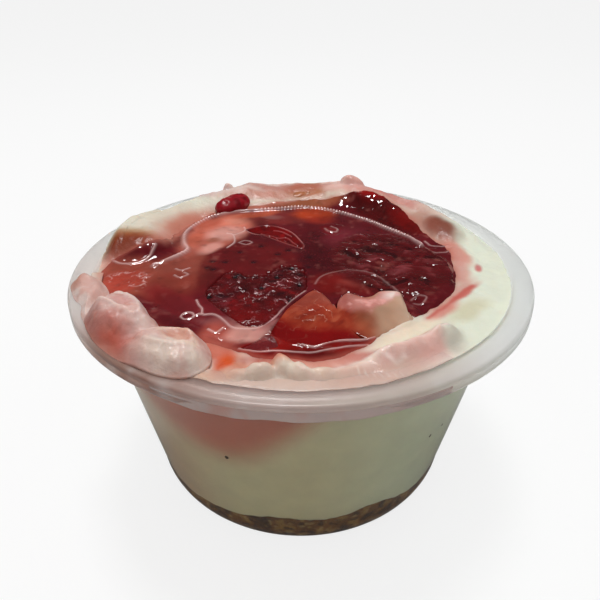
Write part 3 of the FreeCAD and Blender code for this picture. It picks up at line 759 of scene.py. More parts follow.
SAUCE_PATCHES = (
    # the salmon pool at the left, redder to its lower edge
    (SAUCE_SALMON, 1.0, (-25.6, -5.6), 10.6, 5.6, -4, 0.22),
    (tone(134, 62, 50), 1.0, (-19.0, -2.0), 4.6, 4.6, 0, 0.3),
    (tone(130, 48, 38), 0.7, (-19.6, -8.6), 4.4, 4.0, 0, 0.4),
    (tone(166, 62, 48), 0.9, (-28.0, -6.6), 3.8, 3.2, 40, 0.4),
    (tone(120, 28, 30), 0.9, (-19.6, -12.4), 5.4, 2.0, -40, 0.5),
    (tone(104, 24, 30), 0.9, (-15.4, -16.2), 6.0, 2.6, -34, 0.5),
    (tone(142, 88, 88), 0.6, (-9.8, -19.0), 4.6, 0.9, -14, 0.6),
    (tone(196, 140, 132), 0.7, (-6.0, -22.4), 3.0, 1.0, 24, 0.6),
    # inside the ring at the upper left
    (tone(180, 96, 80), 1.0, (-15.2, 10.4), 9.0, 5.0, 62, 0.25),
    (SAUCE_ROSE, 0.9, (-14.6, 13.6), 5.6, 3.6, 52, 0.4),
    (SAUCE_PINK, 0.9, (-13.6, 10.2), 3.4, 2.6, 30, 0.45),
    (SAUCE_PINK, 0.7, (-15.6, 4.2), 2.6, 1.6, 60, 0.5),
    (tone(204, 130, 110), 0.8, (-11.8, 16.4), 3.2, 2.0, 40, 0.5),
    (tone(160, 92, 72), 0.8, (-15.6, 7.6), 1.3, 0.9, 20, 0.5),
    (tone(190, 92, 70), 0.8, (-18.8, 8.6), 1.2, 3.6, -6, 0.5),
    (tone(180, 86, 66), 0.9, (-17.2, 14.6), 1.6, 2.6, -36, 0.5),
    # the back, inside the ring
    (tone(118, 38, 36), 0.9, (-4.6, 17.4), 6.4, 3.0, 0, 0.3),
    (tone(156, 104, 100), 0.5, (-6.6, 18.2), 2.8, 1.0, -20, 0.6),
    (tone(176, 78, 52), 0.9, (-8.6, 19.0), 4.4, 1.2, 20, 0.5),
    (SAUCE_ORANGE, 0.95, (2.4, 19.6), 4.2, 3.0, -8, 0.4),
    (tone(136, 36, 22), 0.8, (3.4, 16.2), 2.8, 1.6, 0, 0.6),
    # the back, outside the ring
    (tone(138, 66, 46), 1.0, (-3.4, 24.6), 13.0, 2.9, 4, 0.2),
    (tone(154, 88, 60), 0.8, (0.6, 25.4), 5.6, 1.6, 0, 0.5),
    (tone(120, 38, 30), 0.8, (-12.6, 21.8), 3.0, 1.6, 30, 0.5),
    (tone(150, 56, 44), 0.9, (-20.6, 17.0), 2.4, 5.0, -40, 0.4),
    (tone(132, 40, 34), 0.9, (-23.2, 10.6), 1.4, 4.2, 4, 0.5),
    (tone(72, 2, 4), 1.0, (16.6, 20.0), 11.0, 4.6, -50, 0.3),
    (tone(138, 8, 6), 0.95, (13.6, 26.4), 4.4, 2.6, -58, 0.4),
    (tone(112, 8, 6), 0.8, (20.6, 15.0), 5.6, 1.8, -62, 0.5),
    # among the berries
    (tone(70, 6, 14), 0.9, (2.4, 0.6), 3.2, 9.0, 6, 0.6),
    (FLESH_BRIGHT, 0.55, (5.8, 11.4), 1.6, 2.0, 20, 0.6),
    (tone(104, 30, 40), 0.8, (8.4, 8.4), 4.4, 4.0, 40, 0.6),
    (tone(106, 14, 12), 0.9, (7.6, -8.2), 5.6, 3.8, -12, 0.25),
    (tone(104, 12, 10), 0.9, (4.2, -9.6), 2.2, 2.8, 20, 0.5),
    (tone(146, 62, 54), 0.6, (9.6, -8.8), 3.2, 1.4, -8, 0.6),
    # the front trough
    (SAUCE_RED, 1.0, (0.6, -25.4), 9.2, 3.0, 2, 0.25),
    (tone(96, 4, 6), 0.9, (0.2, -26.6), 5.4, 1.0, 2, 0.6),
    (tone(168, 78, 66), 0.9, (-11.2, -22.0), 2.4, 3.6, 26, 0.4),
    (SAUCE_PINK, 0.8, (-7.4, -21.4), 2.8, 1.9, 20, 0.4),
    (tone(168, 104, 100), 0.7, (-4.6, -20.6), 2.2, 0.8, 40, 0.6),
)


def sauce_tint(x, y):
    """The sauce from above: wine red by the berries, salmon to the left, orange at the back."""
    colour = plain(SAUCE_WINE, x.shape + (3,))
    colour = painted(x, y, colour, SAUCE_PATCHES)
    over_left = 1 - smooth(0.9, 1.04, oval(*wandered(x, y, 0.5), *LEFT_BERRY))
    colour = stain(colour, SAUCE_HAZE, over_left * (0.75 + 0.25 * cloud(x, y, 3, 2.0)))
    over_right = 1 - smooth(0.86, 1.04, oval(*wandered(x, y, 0.8), *RIGHT_BERRY))
    strands = fibres(x, y)
    colour = washed(colour, (
        (tone(82, 10, 14), over_right * 0.9),
        (tone(150, 70, 74), over_right * 0.55 * smooth(0.1, 0.6, strands)),
        (tone(44, 0, 4), over_right * 0.9 * smooth(0.05, 0.4, -strands)),
    ))
    deep = smooth(0.1, 0.6, cloud(x, y, 51, 1.3, 4, 0.6))
    pale = smooth(0.1, 0.6, cloud(x, y, 57, 1.6, 4, 0.6))
    colour = stain(colour, colour * 0.55, 0.6 * deep)
    colour = stain(colour, colour * 0.75 + tone(214, 130, 118) * 0.25, 0.6 * pale)
    for spot in SEED_SPOTS_LEFT:
        away = np.hypot(x - spot[0], y - spot[1])
        colour = stain(colour, tone(46, 8, 16), 0.9 * bell(away, 0.6))
    # Painted highlight along the wet crests and curls.
    colour = stain(colour, tone(236, 200, 196), 0.9 * crests(x, y)[1] ** 1.5)
    bearing = compass(x, y)
    front = arc_share(bearing, 176, 300, 12)
    colour = stain(colour, tone(176, 90, 76), 0.5 * bell(shore_share(x, y), 0.7) * front)
    back = arc_share(bearing, 96, 172, 12)
    return stain(colour, tone(184, 112, 96), 0.8 * bell(shore_share(x, y), 1.1) * back)


CREAM_PATCHES = (
    # the left bank: brown in the fold by the pool, partly the sauce's stain and partly painted shade, pink
    # toward the back
    (tone(216, 206, 188), 0.8, (-27.0, 14.0), 9.0, 4.0, 62, 0.4),
    (tone(214, 168, 152), 0.9, (-23.0, 9.0), 6.4, 2.4, 66, 0.5),
    (tone(206, 140, 118), 0.9, (-21.4, 15.4), 6.0, 2.2, 54, 0.5),
    (tone(176, 138, 100), 0.8, (-29.8, 5.0), 4.0, 2.6, 20, 0.5),
    (tone(146, 82, 44), 0.95, (-29.2, 3.0), 4.6, 2.8, 8, 0.5),
    (tone(112, 34, 12), 0.95, (-27.0, 1.6), 4.6, 2.4, 8, 0.5),
    (tone(190, 150, 132), 0.8, (-24.2, 4.0), 2.2, 1.4, 60, 0.6),
    (tone(206, 152, 140), 0.8, (-31.6, 0.0), 3.4, 1.6, 20, 0.5),
    # the back ridge
    (tone(214, 186, 178), 0.9, (-8.0, 28.6), 12.0, 3.4, 8, 0.4),
    (tone(196, 170, 170), 0.8, (-19.6, 26.4), 4.4, 2.0, 30, 0.5),
    (tone(190, 128, 108), 0.8, (-6.6, 26.6), 8.0, 1.2, 8, 0.6),
    (tone(168, 96, 56), 0.9, (1.8, 28.6), 5.2, 2.4, 2, 0.4),
    # the right bank
    (tone(212, 160, 150), 1.0, (12.0, 29.4), 8.0, 4.2, -22, 0.3),
    (tone(220, 186, 176), 0.9, (6.6, 29.6), 3.0, 2.4, -10, 0.5),
    (tone(202, 132, 124), 0.9, (20.6, 23.4), 8.4, 3.2, -50, 0.4),
    (tone(212, 190, 176), 0.8, (25.6, 18.0), 4.4, 3.0, -56, 0.5),
    (tone(176, 124, 108), 0.8, (22.6, 15.2), 3.4, 2.4, -60, 0.6),
    (tone(130, 66, 48), 0.9, (25.0, 10.6), 4.4, 2.8, -68, 0.6),
    (tone(206, 138, 124), 0.9, (26.4, 3.2), 4.6, 2.0, -78, 0.4),
    (tone(206, 148, 138), 0.8, (25.8, -3.4), 4.6, 1.3, 84, 0.5),
    (tone(196, 104, 104), 0.9, (29.0, -2.2), 1.1, 0.7, 80, 0.5),
    (tone(204, 158, 146), 0.8, (24.8, -9.6), 4.2, 1.1, 56, 0.6),
    (tone(196, 96, 88), 0.9, (24.8, -10.6), 4.2, 0.7, 49, 0.5),
    (tone(206, 130, 118), 0.9, (20.4, -16.0), 3.6, 1.2, 42, 0.5),
    (tone(196, 186, 148), 0.6, (24.4, -15.4), 4.0, 1.4, 44, 0.6),
    # the front, from the fold round to the rolls
    (tone(222, 204, 182), 1.0, (15.0, -21.6), 6.2, 2.4, 32, 0.35),
    (tone(190, 96, 84), 0.8, (6.0, -27.6), 4.4, 1.3, 18, 0.5),
    (tone(212, 150, 132), 0.9, (-2.0, -28.8), 7.4, 1.9, 0, 0.5),
    (tone(222, 208, 190), 0.9, (-3.2, -31.2), 6.6, 1.7, 2, 0.5),
    (tone(214, 186, 164), 0.8, (4.6, -31.6), 5.4, 1.8, 4, 0.5),
    (tone(212, 132, 112), 0.8, (-2.6, -29.0), 1.3, 0.9, 0, 0.5),
    (tone(226, 216, 200), 0.9, (-5.0, -31.4), 2.2, 1.1, 20, 0.5),
    (tone(226, 216, 200), 0.9, (-0.2, -31.2), 2.2, 1.1, -16, 0.5),
    (tone(200, 92, 64), 0.9, (-10.8, -25.4), 2.4, 3.4, 20, 0.5),
    (tone(200, 128, 102), 0.9, (-8.4, -29.2), 2.4, 2.4, -12, 0.5),
    (STAIN_ORANGE, 0.95, (-9.9, -28.8), 1.3, 2.4, -12, 0.5),
    (tone(206, 168, 132), 0.8, (-12.4, -31.2), 3.0, 1.4, -20, 0.5),
    # more of the left bank's brown: partly the sauce's stain, partly painted shade
    (tone(126, 50, 24), 0.9, (-28.8, 2.0), 4.2, 2.6, 10, 0.45),
    (tone(206, 140, 112), 0.6, (-3.6, -29.6), 3.4, 1.1, 0, 0.5),
    (tone(164, 78, 66), 0.8, (-3.7, -27.7), 4.0, 0.9, 0, 0.5),
    (tone(226, 186, 176), 0.7, (13.8, -26.6), 5.0, 1.5, 36, 0.5),
    (tone(210, 130, 100), 0.8, (-8.6, -31.2), 1.9, 1.2, 0, 0.5),
    (tone(170, 96, 80), 0.7, (-1.9, 29.3), 9.0, 1.4, 2, 0.5),
    (tone(124, 58, 42), 0.7, (25.0, 11.2), 3.0, 2.0, -68, 0.5),
)


# Pale or red lines on the cream: tint, amount, a run of points, half width. On the front fold they are
# painted light and shade: painted shade on its outer side and on its blunt end, a painted highlight on its
# crest and painted light on its inner face; the two thin bright lines after the red one are painted
# highlights.
CREAM_LINES = (
    # the fold's outer side: the cream's pink with painted shade
    (tone(216, 164, 154), 0.9, ((6.0, -31.4), (9.4, -30.6), (12.6, -29.4), (15.6, -27.6),
      (18.0, -25.4)), 1.9),
    # painted shade on the fold's blunt end
    (tone(192, 186, 172), 0.9, ((19.4, -20.8), (20.6, -22.4), (20.2, -25.0)), 1.4),
    # painted highlight along the fold's crest
    (tone(234, 206, 196), 0.9, ((9.6, -27.9), (11.6, -27.0), (13.8, -25.7), (16.4, -24.0), (18.4, -22.4),
      (19.9, -21.0)), 0.45),
    # painted light on the fold's inner face
    (tone(226, 214, 192), 0.9, ((11.2, -24.9), (13.4, -23.6), (16.2, -21.4), (18.8, -19.2)), 1.0),
    (tone(206, 118, 106), 0.8, ((10.3, -25.6), (12.6, -24.9), (15.4, -23.2), (18.4, -20.8)), 0.35),
    # painted highlights: thin bright wavy lines on the front dabs and on the fold
    (tone(236, 212, 202), 0.9, ((0.4, -31.3), (2.5, -32.1), (4.0, -31.1), (5.1, -29.5)), 0.35),
    (tone(238, 214, 206), 0.9, ((10.6, -28.6), (11.9, -29.2), (12.9, -28.3)), 0.3),
    (tone(206, 120, 96), 0.8, ((-8.6, -30.2), (-7.4, -29.6), (-6.4, -30.4)), 0.3),
    (tone(190, 92, 82), 0.8, ((26.6, -8.0), (23.4, -12.0), (20.4, -15.2), (18.2, -17.4)), 0.4),
)


def cream_tint(x, y, z):
    """Cream and cheesecake from above: white to the right, pink to orange by the sauce, with painted
    light, shade and glints on the front fold and dabs, and painted shade in the brown of the left bank's
    fold.
    """
    bearing = compass(x, y)
    reach = np.hypot(x, y)
    colour = plain(CAKE_WHITE, x.shape + (3,))
    colour = stain(colour, CREAM_WHITE, arc_share(bearing, 196, 308, 16))
    colour = painted(x, y, colour, CREAM_PATCHES)
    swirl = cloud(x, y, z, 3.4, 4)
    pinkish = arc_share(bearing, 34, 128, 16) + arc_share(bearing, 214, 306, 12)
    colour = washed(colour, (
        (tone(232, 214, 204), 0.5 * pinkish * smooth(0.1, 0.7, swirl)),
        (tone(196, 120, 108), 0.35 * pinkish * smooth(0.1, 0.7, -swirl)),
    ))
    lx, ly = wandered(x, y, 0.35, 2.0)
    for tint, amount, points, width in CREAM_LINES:
        colour = stain(colour, tint, amount * line_share(lx, ly, points, width))
    # Painted glints: a comb of short pale ticks by the flange's inner edge at the front.
    ticks = line_share(x, y, ((7.0, -30.6), (9.6, -31.2), (12.4, -31.2)), 0.5)
    colour = stain(colour, tone(240, 232, 226), 0.9 * ticks * smooth(0.2, 0.6, np.sin(bearing * 4.4)))
    by_rim = smooth(30.0, 32.2, reach + 0.8 * swirl) * arc_share(bearing, 250, 298, 12)
    colour = stain(colour, tone(204, 176, 160), 0.7 * by_rim)
    by_shore = np.clip(reach - SHORE(x, y), 0, None)
    wide = 0.9 + 1.5 * arc_share(bearing, 118, 168, 16) - 0.6 * arc_share(bearing, 292, 325, 8)
    return stain(colour, tone(184, 100, 84), 0.8 * np.exp(-by_shore / wide))


# ---------------------------------------------------------------- the cup


def arc(centre, radius, start, end, count):
    """Points on an arc in the profile's plane, from one bearing to another, in degrees."""
    turns = np.radians(np.linspace(start, end, count))
    return [(centre[0] + radius * math.cos(t), centre[1] + radius * math.sin(t)) for t in turns]


# Radii of the cup's outside and heights over the table.
SHOULDER = 32.7  # where the wall meets the flange
SHOULDER_DROP = 2.1  # from the flange's top down to the shoulder
CORNER = 26.45  # at the top of the rounded corner
CORNER_HEIGHT = 5.5
CORNER_RADIUS = 6.0
FOOT = 22.8  # outer side of the standing ring
FOOT_INSIDE = 21.3  # inner side of the standing ring
FOOT_ROUND = 0.6  # from the foot's outer side to its flat
BASE = 20.5  # the pushed-up middle
PUSH_UP = 0.8
AXIS = 0.01  # the innermost ring, almost on the axis
CUP_COLUMNS = 512


def outer_wall(height):
    """Outside radius of the cup's wall at a height over the table."""
    height = np.asarray(height, float)
    lift = np.clip((CORNER_HEIGHT - height) / CORNER_RADIUS, 0, 1)
    low = CORNER - CORNER_RADIUS * (1 - np.sqrt(1 - lift**2))
    shoulder = TOP - SHOULDER_DROP
    high = CORNER + (SHOULDER - CORNER) * (height - CORNER_HEIGHT) / (shoulder - CORNER_HEIGHT)
    return np.where(height < CORNER_HEIGHT, low, high)


def cup_profile():
    """The cup's section: up the inside, over the flange, down the skirt and the outside."""
    inside = [(AXIS, PUSH_UP + WALL), (BASE + 0.1, PUSH_UP + WALL), (FOOT_INSIDE + 0.2, WALL)]
    for height in np.linspace(WALL, CORNER_HEIGHT, 9):
        inside.append((float(outer_wall(height)) - WALL, height))
    for height in np.linspace(CORNER_HEIGHT, TOP - SHOULDER_DROP, 12)[1:]:
        inside.append((float(outer_wall(height)) - WALL, height))
    inside += [(MOUTH - 0.55, TOP - 0.9), (MOUTH - 0.1, TOP - 0.35)]
    lip = arc((MOUTH + 0.3, TOP - 0.3), 0.3, 170, 90, 4)
    edge = arc((RIM - 0.45, TOP - 0.45), 0.45, 90, 0, 6)
    skirt = [
        (RIM, TOP - 0.78), (RIM - 0.2, TOP - 0.9), (RIM - 0.2, TOP - 1.15), (RIM, TOP - 1.3),
        (RIM - 0.02, TOP - 2.0), (RIM - 0.15, TOP - 2.1), (RIM - WALL + 0.1, TOP - 2.1),
        (RIM - WALL, TOP - 2.0), (RIM - WALL, TOP - WALL), (MOUTH + 0.75, TOP - WALL),
    ]
    outside = []
    for height in np.linspace(TOP - SHOULDER_DROP, CORNER_HEIGHT, 12):
        outside.append((float(outer_wall(height)), height))
    for height in np.linspace(CORNER_HEIGHT, 0.0, 10)[1:]:
        outside.append((float(outer_wall(height)), height))
    foot = [(FOOT - FOOT_ROUND, 0.0), (FOOT_INSIDE, 0.0), (BASE, PUSH_UP), (AXIS, PUSH_UP)]
    return inside + lip + edge + skirt + outside + foot


def make_cup():
    """The clear cup: milky and stained over the flange, clear down the wall."""
    profile = np.array(cup_profile())
    bearing = np.linspace(0, 2 * np.pi, CUP_COLUMNS, endpoint=False)
    x, y = about_axis(profile[:, 0][:, None], bearing)
    z = np.broadcast_to(profile[:, 1][:, None], x.shape)
    faces = [face[::-1] for face in grid_faces(len(profile), CUP_COLUMNS, True)]
    points = np.dstack([x, y, z])
    turn = compass(x, y)
    high = smooth(TOP - SHOULDER_DROP - 0.2, TOP - SHOULDER_DROP + 0.1, z)
    colour = plain((0.99, 1.0, 0.99), points.shape)
    colour = washed(colour, (
        (np.array((0.95, 0.88, 0.85)), high * arc_share(turn, 170, 306, 50)),
        (np.array((0.86, 0.76, 0.72)), high * arc_share(turn, 240, 300, 24)),
        (np.array((0.52, 0.3, 0.24)), high * arc_share(turn, 216, 248, 26)),
    ))
    film = smooth(0.0, 0.5, cloud(x, y, z, 3.4, 4, 0.6)) * high * arc_share(turn, 200, 330, 30)
    colour = stain(colour, np.array((0.98, 0.93, 0.91)), 0.7 * film)
    cup = piece(
        "cup_clear", points, faces, FLANGE_SHEET, ["cup"], tint=colour
    )
    cup.data.materials.append(WALL_SHEET)
    heights = points.reshape(-1, 3)[:, 2]
    for polygon, face in zip(cup.data.polygons, faces):
        polygon.material_index = int(max(heights[index] for index in face) < TOP - SHOULDER_DROP + 0.1)


# ---------------------------------------------------------------- layers

# The top of the crumbs at the wall: (bearing, height over the table).
CRUMB_LINE = ring_curve((
    (204, 7.4), (212, 6.4), (219, 5.6), (226, 5.3), (232, 5.8), (239, 5.9), (245, 6.1), (251, 6.6),
    (257, 7.6), (267, 7.8), (277, 7.3), (287, 7.2), (291, 9.0), (299, 8.2), (309, 6.4), (318, 6.2),
    (328, 7.0), (340, 7.6), (10, 6.4), (50, 5.8), (90, 6.6), (130, 5.9), (170, 6.5), (190, 7.6),
))

ROUND_COLUMNS = 720  # columns of points round the cheesecake, the crumbs and the lap


def food_wall(height):
    """Radius to which the food reaches at a height: just into the cup's wall."""
    plain = outer_wall(height) - WALL
    flare = smooth(TOP - SHOULDER_DROP, TOP - 0.3, np.asarray(height, float))
    plain = plain * (1 - flare) + MOUTH * flare
    return plain + BITE


def make_cheesecake():
    """The cheesecake with the cream smeared over it: its top, then down the wall."""
    x, y = polar_grid(14.0, MOUTH + 0.02, 0.26, ROUND_COLUMNS)
    over = shore_share(x, y)
    level = ground(x, y)
    z = level + crest_height(x, y) * (over < 0) - 0.5 * smooth(-0.1, 0.9, over)
    z = z - 5.0 * smooth(0.8, 3.0, over)
    tint = cream_tint(x, y, z)
    bearing = np.arctan2(y[0], x[0])
    line = CRUMB_LINE(np.cos(bearing), np.sin(bearing)) - 0.4
    rows = 46
    share = np.linspace(0, 1, rows)[:, None]
    wall_z = z[-1][None, :] * (1 - share) + line[None, :] * share
    wall_z[0] = np.minimum(z[-1], TOP - 0.05)
    wall_r = food_wall(wall_z)
    wall_x, wall_y = about_axis(wall_r, bearing)
    wall_tint = cake_wall_tint(np.broadcast_to(np.degrees(bearing) % 360, wall_z.shape), wall_z)
    all_x = np.vstack([x, wall_x, np.zeros((1, ROUND_COLUMNS))])
    all_y = np.vstack([y, wall_y, np.zeros((1, ROUND_COLUMNS))])
    all_z = np.vstack([z, wall_z, np.broadcast_to(line[None, :], (1, ROUND_COLUMNS))])
    all_tint = np.vstack([tint, wall_tint, wall_tint[-1:]])
    faces = grid_faces(len(all_x), ROUND_COLUMNS, True)
    piece(
        "cheesecake_and_cream",
        np.dstack([all_x, all_y, all_z]),
        faces,
        CREAM_SKIN,
        [
            "cheesecake", "cream_ridge_back", "cream_bank_right", "cream_knob",
            "cream_fold", "cream_front",
        ],
        tint=all_tint,
    )


# How low the sauce's stain reaches down the wall: (bearing, height over the table).
STAIN_FOOT = ring_curve((
    (0, 60.0), (192, 60.0), (202, 38.5), (212, 31.0), (222, 25.6), (232, 22.4), (242, 20.8),
    (250, 20.6), (258, 22.4), (266, 26.4), (274, 31.0), (282, 36.5), (292, 60.0), (359, 60.0),
))


def cake_wall_tint(bearing, height):
    """The cheesecake as it shows through the wall, with the sauce's stain at the front left."""
    colour = plain(CAKE_WALL, bearing.shape + (3,))
    wander = cloud(bearing / 4, height, 0, 5.0, 3)
    turn = np.radians(bearing)
    foot = STAIN_FOOT(np.cos(turn), np.sin(turn))
    inside = smooth(-3.2, 6.4, height - foot + 1.0 * wander)
    colour = stain(colour, tone(204, 104, 78), 0.9 * inside)
    fine = cloud(bearing / 3, height, 4, 1.6, 3, 0.6)
    top = smooth(TOP - 7.8, TOP - 6.2, height + 0.9 * fine) * arc_share(bearing, 240, 300, 10)
    colour = stain(colour, tone(206, 150, 132), 0.7 * top * (1 - 0.4 * inside))
    left = arc_share(bearing, 176, 236, 30)
    colour = stain(colour, tone(210, 150, 118), 0.45 * left)
    right = arc_share(bearing, 286, 380, 40)
    return stain(colour, tone(216, 226, 200), 0.6 * right)


def make_crumbs():
    """The crumb layer: an uneven line at the wall, speckled, level beneath."""
    bearing = np.linspace(0, 2 * np.pi, ROUND_COLUMNS, endpoint=False)
    line = CRUMB_LINE(np.cos(bearing), np.sin(bearing))
    line = line + 0.35 * cloud(26 * np.cos(bearing), 26 * np.sin(bearing), 0, 1.6, 2)
    rows = 30
    share = np.linspace(0, 1, rows)[:, None]
    height = line[None, :] * (1 - share) + (WALL + 0.1) * share
    radius = food_wall(height) + 0.03
    x, y = about_axis(radius, bearing)
    top_r = np.array([0.01, 8.0, 16.0, 23.0])[:, None]
    top_x, top_y = about_axis(top_r, bearing)
    top_z = np.broadcast_to(line[None, :], top_x.shape) * 0.5 + 3.0
    low_r = np.array([18.0, 8.0, 0.01])[:, None]
    low_x, low_y = about_axis(low_r, bearing)
    low_z = np.full(low_x.shape, PUSH_UP + WALL + 0.02)
    all_x = np.vstack([top_x, x, low_x])
    all_y = np.vstack([top_y, y, low_y])
    all_z = np.vstack([top_z, height, low_z])
    mottle = cloud(all_x, all_y, all_z, 1.7, 3, 0.6)
    colour = plain(tone(122, 78, 26), all_x.shape + (3,))
    speckle = cloud(all_x, all_y, all_z, 0.8, 2, 0.6)
    colour = washed(colour, (
        (tone(164, 122, 58), 0.7 * smooth(0.1, 0.5, mottle)),
        (tone(70, 44, 16), 0.8 * smooth(0.1, 0.45, -mottle)),
        (tone(56, 34, 12), 0.7 * smooth(0.15, 0.4, speckle)),
        (tone(176, 142, 84), 0.6 * smooth(0.25, 0.5, -speckle)),
    ))
    piece(
        "biscuit_crumbs",
        np.dstack([all_x, all_y, all_z]),
        grid_faces(len(all_x), ROUND_COLUMNS, True),
        CRUMB_SKIN,
        ["biscuit_base"],
        tint=colour,
    )


def make_stray_crumbs():
    """A few dark crumbs caught between the cheesecake and the wall: (bearing, height, size)."""
    unit, faces = ball_points(2)
    rows = ((249.0, 21.8, 0.34), (317.5, 21.0, 0.26), (311.75, 20.6, 0.3))
    points = []
    shapes = []
    for bearing, height, size in rows:
        turn = math.radians(bearing)
        reach = float(food_wall(height)) - 0.05
        place = (reach * math.cos(turn), reach * math.sin(turn), height)
        base = len(points) * len(unit)
        points.append(turned(unit * np.array([0.2, size, 1.3 * size]), bearing, -10, place))
        shapes += [tuple(base + index for index in face) for face in faces]
    world = np.vstack(points)
    colour = plain(tone(70, 44, 16), world.shape)
    piece("stray_crumbs", world, shapes, CRUMB_SKIN, [], tint=colour)


def torn_edge(x, y):
    """Places moved about so that the film over the left berry ends raggedly at the back."""
    back = smooth(-9.0, -5.0, y)
    return x + 1.2 * back * cloud(x, y, 33, 2.4, 3), y + 2.2 * back * cloud(x, y, 37, 2.0, 3, 0.6)


def fruit_sink(x, y):
    """1 where the fruit stands bare of the sauce, so that the sauce lies under it."""
    sink = np.zeros(x.shape)
    for outline in BARE_FRUIT:
        low = outline.min(axis=0) - 0.5
        high = outline.max(axis=0) + 0.5
        near = (x > low[0]) & (x < high[0]) & (y > low[1]) & (y < high[1])
        px, py = x[near], y[near]
        if outline is LEFT_BARE:
            px, py = torn_edge(px, py)
        within = smooth(0.12, 0.5, inside_outline(px, py, outline))
        sink[near] = np.maximum(sink[near], within)
    return sink


def make_sauce():
    """The sauce's skin from the middle out to its shore, with a rounded wet edge."""
    step = 0.17
    half = int(33 / step)
    line = np.arange(-half, half + 1) * step
    x, y = np.meshgrid(line, line)
    over = shore_share(x, y)
    z = ground(x, y) + 0.15 * smooth(-0.2, 1.0, over) - 0.6 * smooth(0.0, 1.2, -over)
    z = z + crest_height(x, y) + sauce_ripple(x, y)
    z = z - 3.0 * fruit_sink(x, y)
    keep = over > -1.2
    index = np.full(x.shape, -1)
    index[keep] = np.arange(keep.sum())
    quads = keep[:-1, :-1] & keep[1:, :-1] & keep[:-1, 1:] & keep[1:, 1:]
    rows, columns = np.nonzero(quads)
    faces = np.stack(
        [
            index[rows, columns],
            index[rows, columns + 1],
            index[rows + 1, columns + 1],
            index[rows + 1, columns],
        ],
        axis=1,
    )
    x = x[keep]
    y = y[keep]
    over_right = 1 - smooth(0.8, 1.0, oval(x, y, *RIGHT_BERRY))
    lively = bell(oval(x, y, *SALMON_END), 0.9)
    piece(
        "sauce_skin", np.stack([x, y, z[keep]], axis=1), faces.tolist(), SAUCE_SKIN,
        ["strawberry_sauce"], tint=sauce_tint(x, y), relief=0.25 + 1.6 * over_right + 2.0 * lively,
    )


# ---------------------------------------------------------------- the fruit


def mound(outline, top, depth, columns=300, rings=60):
    """The points and faces of a closed lump: top gives its height for each place inside the
    outline, and below that its flank draws in as it goes down by depth, to rest on the flange
    where it lies over it."""
    loop = np.vstack([outline, outline[:1]])
    along = np.append(0, np.cumsum(np.hypot(*np.diff(loop, axis=0).T)))
    even = np.linspace(0, along[-1], columns, endpoint=False)
    edge = np.column_stack([np.interp(even, along, loop[:, 0]), np.interp(even, along, loop[:, 1])])
    middle = edge.mean(axis=0)
    flank = ((1.01, 0.02), (1.015, 0.1), (1.0, 0.3), (0.9, 0.6), (0.7, 0.85), (0.4, 1.0), (0.01, 1.0))
    share = np.append(np.linspace(0.004, 1, rings), [row[0] for row in flank])[:, None]
    x = middle[0] + share * (edge[:, 0] - middle[0])
    y = middle[1] + share * (edge[:, 1] - middle[1])
    over = top(x[:rings], y[:rings])
    under = over[-1] - depth * np.array([row[1] for row in flank])[:, None]
    on_flange = np.hypot(x[rings:], y[rings:]) > MOUTH - 0.3
    under = np.where(on_flange, np.clip(under, TOP + 0.01, over[-1]), under)
    faces = grid_faces(len(share), columns, True)
    return np.dstack([x, y, np.vstack([over, under])]).reshape(-1, 3), faces


def skin_level(x, y):
    """The food's top with its thin wet crests."""
    return ground(x, y) + crest_height(x, y)


def curls(x, y, grain):
    """Near 1 on thin winding lines, such as torn pulp makes."""
    wx, wy = wandered(x, y, 0.5, 1.4)
    return bell(cloud(wx, wy, 61, grain, 2, 0.6), 0.045) * smooth(-0.2, 0.25, cloud(x, y, 71, 1.7, 2))


def turned(points, bearing, dip, place):
    """The points dipped and turned by degrees, then set at a place."""
    heading = Euler((0, math.radians(dip), math.radians(bearing)), "XYZ").to_matrix()
    return points @ np.array(heading).T + np.array(place)


def level_off(points, top, softness):
    """Presses the points down under a top, level or one height for each, with a soft shoulder."""
    over = points[:, 2] - top
    eased = top - softness * np.exp(-(over + softness) / softness)
    points[:, 2] = np.where(over > -softness, eased, points[:, 2])
    return points


def make_left_berry():
    """The left berry: under a film of sauce at the back, torn and dark where it is bare."""

    def top(x, y):
        bare = smooth(-0.1, 0.5, inside_outline(*torn_edge(x, y), LEFT_BARE))
        centre = bell(oval(x, y, (-6.6, -10.4), 6.0, 5.4, 0), 0.95)
        torn = 0.16 * cloud(x, y, 5, 1.5, 3, 0.6) + (0.1 + 0.12 * centre) * curls(x, y, 1.1)
        for spot in SEED_SPOTS_LEFT:
            torn = torn - 0.22 * bell(np.hypot(x - spot[0], y - spot[1]), 0.4)
        return skin_level(x, y) - 0.3 * (1 - bare) + bare * (0.03 + torn)

    world, faces = mound(LEFT_WHOLE, top, 13.0, 440, 100)
    x, y = world[:, :2].T
    colour = plain(tone(78, 4, 8), world.shape)
    blotch = cloud(x, y, 9, 2.0, 4, 0.6)
    colour = washed(colour, (
        (tone(116, 8, 12), smooth(0.0, 0.5, blotch)),
        (tone(40, 2, 8), 0.9 * smooth(0.0, 0.5, -blotch)),
        (tone(116, 52, 60), 0.35 * smooth(0.2, 0.6, cloud(x, y, 13, 1.6, 3, 0.6))),
        (tone(108, 4, 4), 0.8 * bell(oval(x, y, (-7.6, -18.0), 4.6, 2.2, -8), 0.9)),
    ))
    for spot in SEED_SPOTS_LEFT:
        away = np.hypot(x - spot[0], y - spot[1])
        colour = stain(colour, tone(34, 4, 12), 0.85 * bell(away, 0.6))
    # Painted glints on the torn curls, and a painted highlight along the wet crests.
    colour = washed(colour, (
        (tone(176, 116, 120), 0.55 * curls(x, y, 1.1)),
        (tone(220, 170, 170), 0.9 * crests(x, y)[1] ** 1.5),
    ))
    piece("berry_left", world, faces, BERRY_SKIN, ["strawberry_left"], tint=colour, relief=0.5)


